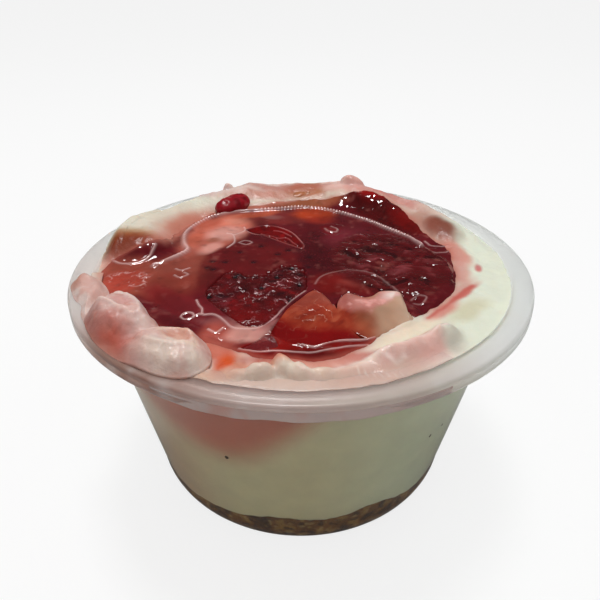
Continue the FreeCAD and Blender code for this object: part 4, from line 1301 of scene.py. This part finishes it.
def make_hidden_berries():
    """The berries that lie wholly under the sauce's skin."""
    unit, faces = ball_points(5)
    rows = (
        ("berry_right", "strawberry_right", (14.4, -1.4, PRESSED - 8.2), (10.6, 8.4, 8.2), -80, 1.2),
        ("berry_covered", "strawberry_covered", (7.6, -8.4, PRESSED - 4.6), (6.0, 5.0, 4.6), -25, 0.9),
    )
    for name, node_name, place, radii, turn, under in rows:
        world = turned(unit * np.array(radii), turn, 0, place)
        world = level_off(world, PRESSED - under, 0.8)
        colour = plain(FLESH_DARK, world.shape)
        colour = stain(colour, FLESH_BRIGHT, 0.5 * smooth(0.0, 0.6, cloud(*world.T, 2.2, 3)))
        piece(name, world, faces, BERRY_SKIN, [node_name], tint=colour, relief=0.3)


def make_seeds():
    """The left berry's seeds as one piece: small dark pips lying in their dimples."""
    unit, faces = ball_points(2)
    shuffle = np.random.default_rng(5)
    points = []
    shapes = []
    for x, y in SEED_SPOTS_LEFT:
        body = unit * np.array([0.3, 0.42, 0.14]) * shuffle.uniform(0.8, 1.2)
        body[:, 1] *= 1 - 0.25 * unit[:, 1]
        level = float(skin_level(np.array([x]), np.array([y]))[0]) - 0.12
        base = len(points) * len(unit)
        points.append(turned(body, shuffle.uniform(-35, 35), 12, (x, y, level)))
        shapes += [tuple(base + index for index in face) for face in faces]
    world = np.vstack(points)
    colour = plain(SEED_DARK, world.shape)
    piece("berry_seeds", world, shapes, SEED_SKIN, [], tint=colour)


def make_slice():
    """The upright slice: a bright wet face with a raised rim and folds across it, whose crests are painted
    pale as highlights.
    """
    folds = (
        ((-7.2, 9.4), (-5.6, 9.6), (-4.2, 8.6), (-2.6, 8.8), (-1.4, 6.8), (-0.6, 5.4)),
        ((-5.0, 12.0), (-3.4, 11.2), (-1.9, 9.4)),
    )

    def top(x, y):
        rim = inside_outline(x, y, SLICE)
        level = skin_level(x, y) + 0.24 * bell(rim - 0.2, 0.18) - 0.22 * smooth(0.4, 1.6, rim)
        for fold in folds:
            level = level + 0.22 * line_share(x, y, fold, 0.18)
        return level + 0.10 * cloud(x, y, 7, 1.5, 3) * smooth(0.3, 1.0, rim)

    world, faces = mound(SLICE, top, 9.0, 320, 60)
    x, y = world[:, :2].T
    rim = inside_outline(x, y, SLICE)
    colour = plain(tone(104, 0, 2), world.shape)
    colour = washed(colour, (
        (tone(68, 0, 4), smooth(0.0, 0.5, cloud(x, y, 1, 2.0, 3))),
        (tone(134, 4, 6), 0.8 * smooth(0.1, 0.6, cloud(x, y, 4, 1.6, 3))),
    ))
    # Painted highlights along the folds' crests.
    for fold in folds:
        colour = stain(colour, tone(188, 96, 96), 0.5 * line_share(x, y, fold, 0.14))
    # Painted highlight round the raised rim, broken here and there.
    broken = 0.3 + 0.7 * smooth(-0.3, 0.4, cloud(x, y, 17, 2.4, 2))
    colour = stain(colour, tone(206, 140, 138), 0.7 * broken * bell(rim - 0.15, 0.15))
    piece("berry_slice", world, faces, SAUCE_SKIN, ["strawberry_slice"], tint=colour, relief=0.4)


# Where the upper side of the wedge turns down to its face.
WEDGE_SHOULDER = ((1.8, -17.0), 4.6, 4.4, 30)


def front_top(x, y):
    """The height of the wedge and of the block, with fine curls on the wedge's shoulder."""
    shoulder = bell(oval(x, y, *WEDGE_SHOULDER), 0.9)
    soft = 0.12 * cloud(x, y, 6, 1.8, 4, 0.6) + 0.16 * shoulder * curls(x, y, 1.3)
    return skin_level(x, y) + 0.03 + soft * smooth(0.2, 1.2, inside_outline(x, y, FACE))


def front_tint(x, y):
    """Orange flesh that deepens to red at its foot, then the block's beige face and pink top."""
    wx, wy = wandered(x, y, 0.9, 2.6)
    foot = near_line(wx, wy, rounded_run(FACE_FOOT))
    colour = plain(tone(142, 46, 26), x.shape + (3,))
    colour = washed(colour, (
        (tone(168, 70, 44), 0.7 * smooth(0.0, 0.6, cloud(x, y, 15, 2.2, 3))),
        (tone(118, 30, 20), 0.7 * smooth(0.0, 0.6, -cloud(x, y, 15, 2.2, 3))),
    ))
    streaks = cloud(0.5 * (x + y), 1.6 * (x - y), 6, 2.2, 3, 0.6)
    colour = washed(colour, (
        (tone(104, 14, 10), 0.7 * smooth(0.1, 0.6, streaks)),
        (tone(176, 88, 60), 0.5 * smooth(0.1, 0.6, -streaks)),
        (tone(116, 1, 2), 1 - smooth(2.4, 4.6, foot + 0.25 * np.clip(wx - 2, 0, 9))),
        (tone(150, 78, 66), 0.7 * bell(oval(wx, wy, (4.2, -12.8), 3.2, 2.2, -50), 0.9)),
        (tone(140, 64, 52), 0.7 * bell(oval(wx, wy, (0.6, -13.4), 1.6, 3.6, -24), 0.9)),
        (tone(140, 74, 50), 0.8 * smooth(6.6, 9.2, wx)),
        (tone(172, 134, 110), smooth(8.8, 11.6, wx)),
        (tone(190, 160, 138), 0.8 * smooth(12.6, 15.6, wx)),
    ))
    blur = 0.5 + 0.9 * (1 - smooth(9.0, 12.0, wx))
    on_top = smooth(-1.0, 1.0, inside_outline(wx, wy, BLOCK_TOP) / blur)
    colour = washed(colour, (
        (tone(190, 122, 112), on_top),
        (tone(160, 84, 76), on_top * (1 - smooth(6.0, 8.6, wx))),
        (tone(226, 204, 196), on_top * bell(oval(wx, wy, (13.6, -12.6), 2.2, 1.3, 40), 0.9)),
        (tone(214, 156, 148), 0.8 * on_top * smooth(0.0, 0.5, cloud(x, y, 19, 1.2, 3))),
    ))
    # Painted glints on the curls of the wedge's shoulder.
    shoulder = bell(oval(x, y, *WEDGE_SHOULDER), 0.9)
    return stain(colour, tone(206, 140, 116), 0.5 * shoulder * curls(x, y, 1.3))


def make_front():
    """The cut wedge and the block of cream beside it, one slope running over both."""
    rows = (
        ("berry_wedge", WEDGE, SAUCE_SKIN, "fruit", "strawberry_wedge"),
        ("cream_cut_block", BLOCK, SAUCE_SKIN, "cream", "cream_block"),
    )
    for name, outline, skin, slot, node_name in rows:
        world, faces = mound(outline, front_top, 6.0, 300, 70)
        colour = front_tint(world[:, 0], world[:, 1])
        piece(name, world, faces, skin, [node_name], tint=colour, relief=0.5)


def make_chips():
    """The small cut pieces at the front, at the back left and at the back rim."""
    world, faces = mound(CHIP, lambda x, y: skin_level(x, y) + 0.04 * curls(x, y, 0.9), 3.0, 160, 30)
    x, y = world[:, :2].T
    colour = plain(tone(104, 20, 24), world.shape)
    colour = stain(colour, tone(150, 70, 66), 0.6 * smooth(0.0, 0.5, cloud(x, y, 3, 1.2, 3)))
    piece(
        "berry_chip_front", world, faces, CREAM_SKIN, ["strawberry_chip_front"],
        tint=colour, relief=0.8,
    )
    rows = (
        ("back", (-13.6, 22.8, PRESSED + 0.5), (4.1, 2.6, 2.1), 52, tone(138, 8, 24)),
        ("rim", (1.0, 29.2, PRESSED + 0.2), (5.6, 2.6, 1.5), 4, tone(170, 104, 66)),
    )
    unit, faces = ball_points(5)
    for name, place, radii, turn, base in rows:
        world = turned(unit * np.array(radii), turn, 0, place)
        x, y, z = world.T
        world = world + 0.7 * unit * cloud(x, y, z, 2.6, 3)[:, None]
        colour = plain(base, world.shape)
        colour = stain(colour, base * 0.4, 0.8 * smooth(0.0, 0.6, cloud(x, y, z, 1.8, 2)))
        piece(
            f"berry_chip_{name}", world, faces, CREAM_SKIN, [f"strawberry_chip_{name}"],
            tint=colour, relief=0.4,
        )


# ---------------------------------------------------------------- cream with height


ROLLS = closed_run((
    (-29.2, -14.4), (-27.6, -13.0), (-25.2, -13.2), (-23.4, -15.0), (-22.0, -17.6), (-20.8, -20.0),
    (-18.6, -22.2), (-15.6, -23.0), (-13.2, -24.4), (-11.7, -26.6), (-11.5, -29.2), (-12.8, -31.2),
    (-15.0, -31.9), (-17.8, -31.2), (-20.8, -29.6), (-24.0, -27.4), (-27.2, -24.2), (-29.4, -20.8),
    (-30.4, -17.4),
))
LUMP = closed_run((
    (-34.6, -11.0), (-35.4, -9.0), (-35.3, -7.0), (-34.2, -5.6), (-32.4, -6.2), (-30.2, -8.8),
    (-28.8, -11.6), (-29.4, -13.2), (-30.2, -15.2), (-29.8, -17.4), (-29.0, -19.6), (-29.8, -19.9),
    (-31.2, -17.4), (-32.0, -14.8), (-33.4, -13.2),
))

# The rolls' tops, each a closed outline round its high part, with its height over the flange.
ROLL_TOPS = (
    (closed_run((
        (-27.2, -18.4), (-26.0, -17.0), (-24.4, -17.2), (-22.8, -18.8), (-21.2, -20.8), (-20.8, -22.4),
        (-22.4, -23.0), (-24.8, -22.0), (-26.8, -20.4),
    )), 2.7),
    (closed_run((
        (-20.2, -26.2), (-18.8, -25.2), (-16.6, -25.0), (-14.6, -25.4), (-13.9, -27.2), (-13.9, -28.6),
        (-15.4, -29.4), (-17.8, -28.8), (-19.6, -27.8),
    )), 2.0),
)
GROOVE = ((-18.4, -21.8), (-19.6, -23.4), (-21.4, -24.6), (-23.6, -25.2))
UPPER_SWIRL = ((-24.3, -18.4), 2.6, 1.7, -42)
LOWER_SWIRL = ((-15.6, -26.4), 2.4, 1.3, -36)
SWIRL_ARMS = (
    ((-26.6, -15.6), (-24.8, -16.2), (-23.0, -17.8), (-21.6, -20.0), (-21.4, -22.0)),
    ((-27.4, -18.6), (-25.8, -19.8), (-24.2, -21.0), (-22.4, -22.4)),
    ((-20.2, -25.0), (-18.0, -24.6), (-15.6, -24.4), (-13.9, -25.6)),
    ((-19.4, -27.4), (-17.2, -28.2), (-14.8, -28.4), (-13.6, -27.2)),
)


def roll_level(x, y):
    """The two high rolls at the front left as the spoon left them, melted together."""
    wx, wy = wandered(x, y, 0.5, 2.6)
    swell = np.zeros(x.shape)
    for outline, height in ROLL_TOPS:
        inward = inside_outline(wx, wy, outline)
        shoulder = smooth(-3.4, 0.9, inward) ** 0.8
        swell = swell + (height * shoulder) ** 4
    swell = swell ** (1 / 4)
    swell = swell * (1 - 0.22 * bell(near_line(wx, wy, rounded_run(GROOVE)), 1.1))
    swell = swell + 0.9 * smooth(0.0, 1.6, inside_outline(x, y, ROLLS)) ** 0.6 * (swell < 9)
    lumps = 0.36 * cloud(x, y, 3, 2.4, 3, 0.6) + 0.34 * cloud(x, y, 5, 1.3, 3, 0.6)
    arms = np.zeros(x.shape)
    for arm in SWIRL_ARMS:
        arms = np.maximum(arms, line_share(wx, wy, arm, 0.5))
    swirls = 0.30 * arms
    for swirl, depth in ((UPPER_SWIRL, 0.30), (LOWER_SWIRL, 0.45)):
        swirls = swirls - depth * (1 - smooth(0.3, 1.1, oval(wx, wy, *swirl)))
    return TOP + 0.05 + swell + (lumps + swirls) * smooth(0.6, 1.8, swell)


def roll_tint(x, y, z):
    """Pale pink above, stained red-brown on the flange side of the upper roll, white in front, with
    painted shade toward the foot and a painted highlight round the lower swirl.
    """
    veins = cloud(x, y, z, 2.6, 4)
    colour = plain(tone(208, 172, 164), x.shape + (3,))
    colour = washed(colour, (
        (tone(220, 196, 188), smooth(-0.1, 0.5, veins)),
        (tone(198, 146, 138), 0.7 * smooth(0.1, 0.5, -veins)),
    ))
    upper = oval(x, y, *UPPER_SWIRL)
    colour = stain(colour, tone(198, 142, 136), 0.6 * (1 - smooth(0.5, 1.1, upper)))
    for arm in SWIRL_ARMS:
        colour = stain(colour, tone(224, 202, 194), 0.7 * line_share(x, y, arm, 0.5))
    lower = oval(x, y, *LOWER_SWIRL)
    colour = washed(colour, (
        (tone(204, 152, 132), 0.8 * (1 - smooth(0.6, 1.0, lower))),
        # painted highlight round the lower swirl's rim
        (tone(226, 200, 180), 0.7 * bell(lower - 1.1, 0.2)),
    ))
    wx, wy = wandered(x, y, 1.0, 3.0)
    middle = bell(oval(wx, wy, (-15.4, -25.0), 3.6, 1.9, -34), 0.9)
    colour = stain(colour, tone(206, 142, 122), 0.6 * middle)
    white = bell(oval(wx, wy, (-17.6, -29.4), 4.4, 2.3, -34), 0.95)
    white = np.maximum(white, bell(oval(wx, wy, (-12.9, -30.0), 2.2, 1.8, 20), 0.9))
    colour = stain(colour, tone(216, 198, 184), 0.9 * white)
    red = bell(oval(wx, wy, (-24.4, -25.4), 5.8, 2.7, -44), 0.95)
    colour = washed(colour, (
        (tone(176, 76, 58), 0.95 * red * (1 - 0.8 * white)),
        (tone(150, 74, 62), 0.8 * bell(oval(wx, wy, (-29.2, -20.6), 4.0, 1.5, -58), 0.9)),
    ))
    # Painted shade toward the foot of the rolls.
    low = 1 - smooth(TOP + 0.1, TOP + 1.1, z)
    colour = stain(colour, tone(176, 120, 104), 0.5 * low * (1 - white))
    return stain(colour, tone(184, 110, 92), 0.4 * smooth(0.1, 0.5, cloud(x, y, 23, 1.4, 3)) * (1 - white))


BANK_END = closed_run((
    (-29.6, -0.8), (-31.6, 0.2), (-33.2, 2.8), (-33.9, 6.4), (-33.8, 10.2), (-32.7, 13.8),
    (-30.6, 17.2), (-28.0, 20.2), (-25.6, 19.0), (-26.4, 15.2), (-27.6, 11.0), (-28.0, 6.4),
    (-27.6, 2.6), (-27.4, 0.2),
))


def make_bank_end():
    """The rounded end of the left bank, which leans out over the flange."""

    def top(x, y):
        reach = np.hypot(x, y)
        near = np.minimum(1.0, 30.6 / np.maximum(reach, 1.0))
        level = ground(x * near, y * near)
        fall = smooth(0.0, 2.6, inside_outline(x, y, BANK_END)) ** 0.6
        over = 0.1 * smooth(30.6, 31.6, reach) - 0.2 * (1 - smooth(30.0, 30.8, reach))
        return TOP + 0.05 + (level - TOP) * fall + over

    world, faces = mound(BANK_END, top, 1.4, 300, 60)
    x, y, z = world.T
    piece(
        "cream_bank_end", world, faces, CREAM_SKIN, ["cream_bank_left"],
        tint=cream_tint(x, y, z), relief=1.0,
    )


def make_rolls():
    """The two high rolls as one melted mass."""
    world, faces = mound(ROLLS, roll_level, 3.0, 440, 110)
    x, y, z = world.T
    piece(
        "cream_rolls", world, faces, CREAM_SKIN, ["cream_roll_left", "cream_roll_front"],
        tint=roll_tint(x, y, z), relief=1.0,
    )


def make_rim_lump():
    """The small pinkish lump that leans on the flange at the left."""

    def top(x, y):
        rim = inside_outline(x, y, LUMP)
        swell = 1.3 * smooth(0.0, 1.8, rim) ** 0.7
        folds = 0.30 * cloud(x, y, 4, 1.8, 3, 0.6)
        return TOP + 0.05 + swell + folds * smooth(0.2, 1.0, rim)

    world, faces = mound(LUMP, top, 1.4, 240, 40)
    x, y, z = world.T
    veins = cloud(x, y, z, 2.0, 3)
    colour = plain(tone(206, 166, 156), world.shape)
    colour = washed(colour, (
        (tone(220, 198, 190), 0.9 * smooth(0.0, 0.5, veins)),
        (tone(176, 116, 96), 0.8 * bell(oval(x, y, (-34.6, -8.8), 1.3, 2.2, 10), 0.9)),
    ))
    piece(
        "cream_lump_at_rim", world, faces, CREAM_SKIN, ["cream_rim_lump"],
        tint=colour, relief=1.4,
    )


# Cream that laps over the flange's inner edge: (bearing, how far past the edge).
LAP = ring_curve((
    (0, 0.0), (180, 0.0), (196, 0.5), (212, 0.7), (228, 0.9), (240, 0.6), (250, 0.9), (258, 0.4),
    (266, 0.8), (276, 0.6), (286, 0.7), (294, 0.3), (300, 0.4), (306, 0.1), (312, 0.0), (330, 0.0),
))


def make_lap():
    """The thin edge of cream that lies over the flange's inner edge along the front."""
    bearing = np.radians(np.linspace(188, 305, ROUND_COLUMNS))
    cosine = np.cos(bearing)
    sine = np.sin(bearing)
    reach = LAP(cosine, sine) * (1 + 0.5 * cloud(30 * cosine, 30 * sine, 5, 2.2, 3))
    reach = np.clip(reach, 0.03, None)
    share = np.array([-1.6, -0.9, -0.4, 0.0, 0.4, 0.7, 0.9, 1.0, 0.9, 0.0, -1.6])[:, None]
    lift = np.array([0.02, 0.1, 0.16, 0.18, 0.17, 0.12, 0.07, 0.02, 0.01, 0.01, -0.1])[:, None]
    radius = MOUTH + np.where(share > 0, share * reach, share)
    x = radius * cosine
    y = radius * sine
    rise = smooth(0.0, 0.3, reach)
    z = TOP + 0.004 + lift * rise * (1 + 0.4 * cloud(x, y, 3, 1.4, 2) * (share < 1))
    colour = cream_tint(x, y, z)
    colour = stain(colour, tone(206, 150, 140), 0.35)
    piece(
        "cream_lap", np.dstack([x, y, z]), grid_faces(len(share), ROUND_COLUMNS, False), CREAM_SKIN,
        [], tint=colour,
    )


def make_skirt_smear():
    """The pale pink smear that ran over the flange and hangs below its skirt at the front."""
    columns = 500
    bearing = np.radians(np.linspace(240, 300, columns))
    fade = smooth(240, 256, np.degrees(bearing)) * (1 - smooth(276, 300, np.degrees(bearing)))
    wave = cloud(40 * np.cos(bearing), 40 * np.sin(bearing), 3, 4.6, 4, 0.6)
    fall = (0.25 + 0.5 * wave) * fade
    drop = np.array([0.9, 1.5, 2.0, 2.1, 2.1, 2.0, 1.9])[:, None]
    hang = np.array([0.0, 0.0, 0.5, 0.9, 1.0, 0.7, 0.0])[:, None]
    out = np.array([-0.02, 0.04, 0.05, 0.02, -0.12, -0.4, -0.62])[:, None]
    z = TOP - drop - hang * np.clip(fall, 0.0, None)
    radius = RIM + np.where(out > 0, out * fade - 0.06 * (1 - fade), out)
    x, y = about_axis(radius, bearing)
    colour = plain(tone(214, 192, 186), x.shape + (3,))
    colour = stain(colour, tone(212, 160, 148), 0.8 * smooth(-0.1, 0.5, cloud(x, y, z, 2.4, 3)))
    piece(
        "skirt_smear", np.dstack([x, y, z]), grid_faces(len(drop), columns, False), CREAM_SKIN,
        [], tint=colour,
    )


# ---------------------------------------------------------------- stage


FLOOR_HALF = 3.0  # half the floor's side, in metres
FLOOR_PAINT = (0.42, 0.42, 0.41, 1)  # what the floor sends on to the object
FLOOR_SEEN = (0.97, 0.97, 0.97, 1)
BACKDROP = (0.965, 0.965, 0.965, 1)
GLOW_SHARE = 0.85  # of the floor as it is seen; the rest keeps the shadow
SKY_LOW = 0.28
SKY_HIGH = 0.62
SKY_IN_GLOSS = 0.12  # of the sky's light in a gloss
LAMP_SIDE = 0.1
LAMP_POWER = 1.3
LAMP_PLACE = (-0.03, 0.06, 0.5)
LENS = 36.0
VIEW_DISTANCE = 2.71  # in outer radii of the flange
VIEW_LIFT = 26.8
VIEW_DIP = 30.6


def make_stage():
    """A wide pale floor that keeps the shadow, a plain sky and one lamp high above."""
    half = FLOOR_HALF
    corners = [(-half, -half, 0.0), (half, -half, 0.0), (half, half, 0.0), (-half, half, 0.0)]
    mesh = bpy.data.meshes.new("floor")
    mesh.from_pydata(corners, [], [(0, 1, 2, 3)])
    floor = bpy.data.objects.new("floor", mesh)
    bpy.context.scene.collection.objects.link(floor)
    material, shader = new_material("pale_floor")
    settings(shader, {"Roughness": 0.9, "Specular IOR Level": 0.1})
    path = node(material, "ShaderNodeLightPath")
    blend = node(material, "ShaderNodeMix", data_type="RGBA")
    blend.inputs[6].default_value = FLOOR_PAINT
    blend.inputs[7].default_value = FLOOR_SEEN
    wire(material, path.outputs["Is Camera Ray"], blend.inputs[0])
    wire(material, blend.outputs[2], shader.inputs["Base Color"])
    glow = node(material, "ShaderNodeEmission")
    glow.inputs["Color"].default_value = BACKDROP
    choose = node(material, "ShaderNodeMixShader")
    share = node(material, "ShaderNodeMath", operation="MULTIPLY")
    share.inputs[1].default_value = GLOW_SHARE
    wire(material, path.outputs["Is Camera Ray"], share.inputs[0])
    wire(material, share.outputs[0], choose.inputs[0])
    wire(material, shader.outputs[0], choose.inputs[1])
    wire(material, glow.outputs[0], choose.inputs[2])
    wire(material, choose.outputs[0], material.node_tree.nodes["Material Output"].inputs["Surface"])
    floor.data.materials.append(material)

    world = bpy.data.worlds.new("plain_sky")
    bpy.context.scene.world = world
    world.use_nodes = True
    nodes = world.node_tree.nodes
    links = world.node_tree.links
    backdrop = nodes["Background"]
    path = nodes.new("ShaderNodeLightPath")
    place = nodes.new("ShaderNodeTexCoord")
    split = nodes.new("ShaderNodeSeparateXYZ")
    rise = nodes.new("ShaderNodeMapRange")
    settings(rise, {"From Min": -0.1, "From Max": 0.9, "To Min": SKY_LOW, "To Max": SKY_HIGH})
    dim = nodes.new("ShaderNodeMapRange")
    settings(dim, {"To Min": 1.0, "To Max": SKY_IN_GLOSS})
    sky = nodes.new("ShaderNodeMath")
    sky.operation = "MULTIPLY"
    seen = nodes.new("ShaderNodeMath")
    seen.operation = "MAXIMUM"
    pick = nodes.new("ShaderNodeMix")
    pick.data_type = "RGBA"
    pick.inputs[7].default_value = BACKDROP
    links.new(place.outputs["Generated"], split.inputs[0])
    links.new(split.outputs["Z"], rise.inputs["Value"])
    links.new(path.outputs["Is Glossy Ray"], dim.inputs["Value"])
    links.new(rise.outputs["Result"], sky.inputs[0])
    links.new(dim.outputs["Result"], sky.inputs[1])
    links.new(path.outputs["Is Camera Ray"], seen.inputs[0])
    links.new(path.outputs["Is Transmission Ray"], seen.inputs[1])
    links.new(seen.outputs[0], pick.inputs[0])
    links.new(sky.outputs[0], pick.inputs[6])
    links.new(pick.outputs[2], backdrop.inputs["Color"])

    lamp = bpy.data.lights.new("overhead", "AREA")
    lamp.shape = "SQUARE"
    lamp.size = LAMP_SIDE
    lamp.energy = LAMP_POWER
    lit = bpy.data.objects.new("overhead", lamp)
    lit.location = LAMP_PLACE
    lit.rotation_euler = (Vector((0, 0, TOP * MM)) - lit.location).to_track_quat("-Z", "Y").to_euler()
    bpy.context.scene.collection.objects.link(lit)


def make_camera():
    """Looks along +Y from in front and above, as near as a hand-held view."""
    lens = bpy.data.cameras.new("camera")
    lens.sensor_width = LENS
    lens.lens = LENS
    lens.shift_x = -1.0 / 600
    lens.clip_start = 0.002
    camera = bpy.data.objects.new("camera", lens)
    distance = VIEW_DISTANCE * RIM
    lift = math.radians(VIEW_LIFT)
    down = math.radians(VIEW_DIP)
    camera.location = Vector((0, -distance * math.cos(lift), TOP + distance * math.sin(lift))) * MM
    camera.rotation_euler = (math.pi / 2 - down, 0, 0)
    bpy.context.scene.collection.objects.link(camera)
    bpy.context.scene.camera = camera


make_camera()
make_stage()
make_cup()
make_crumbs()
make_cheesecake()
make_sauce()
make_left_berry()
make_hidden_berries()
make_seeds()
make_slice()
make_front()
make_chips()
make_bank_end()
make_rolls()
make_rim_lump()
make_lap()
make_skirt_smear()
make_stray_crumbs()

bpy.context.scene.view_settings.view_transform = "Standard"


def write_sizes():
    """Brings the scene's placements up to date."""
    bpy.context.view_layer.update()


write_sizes()
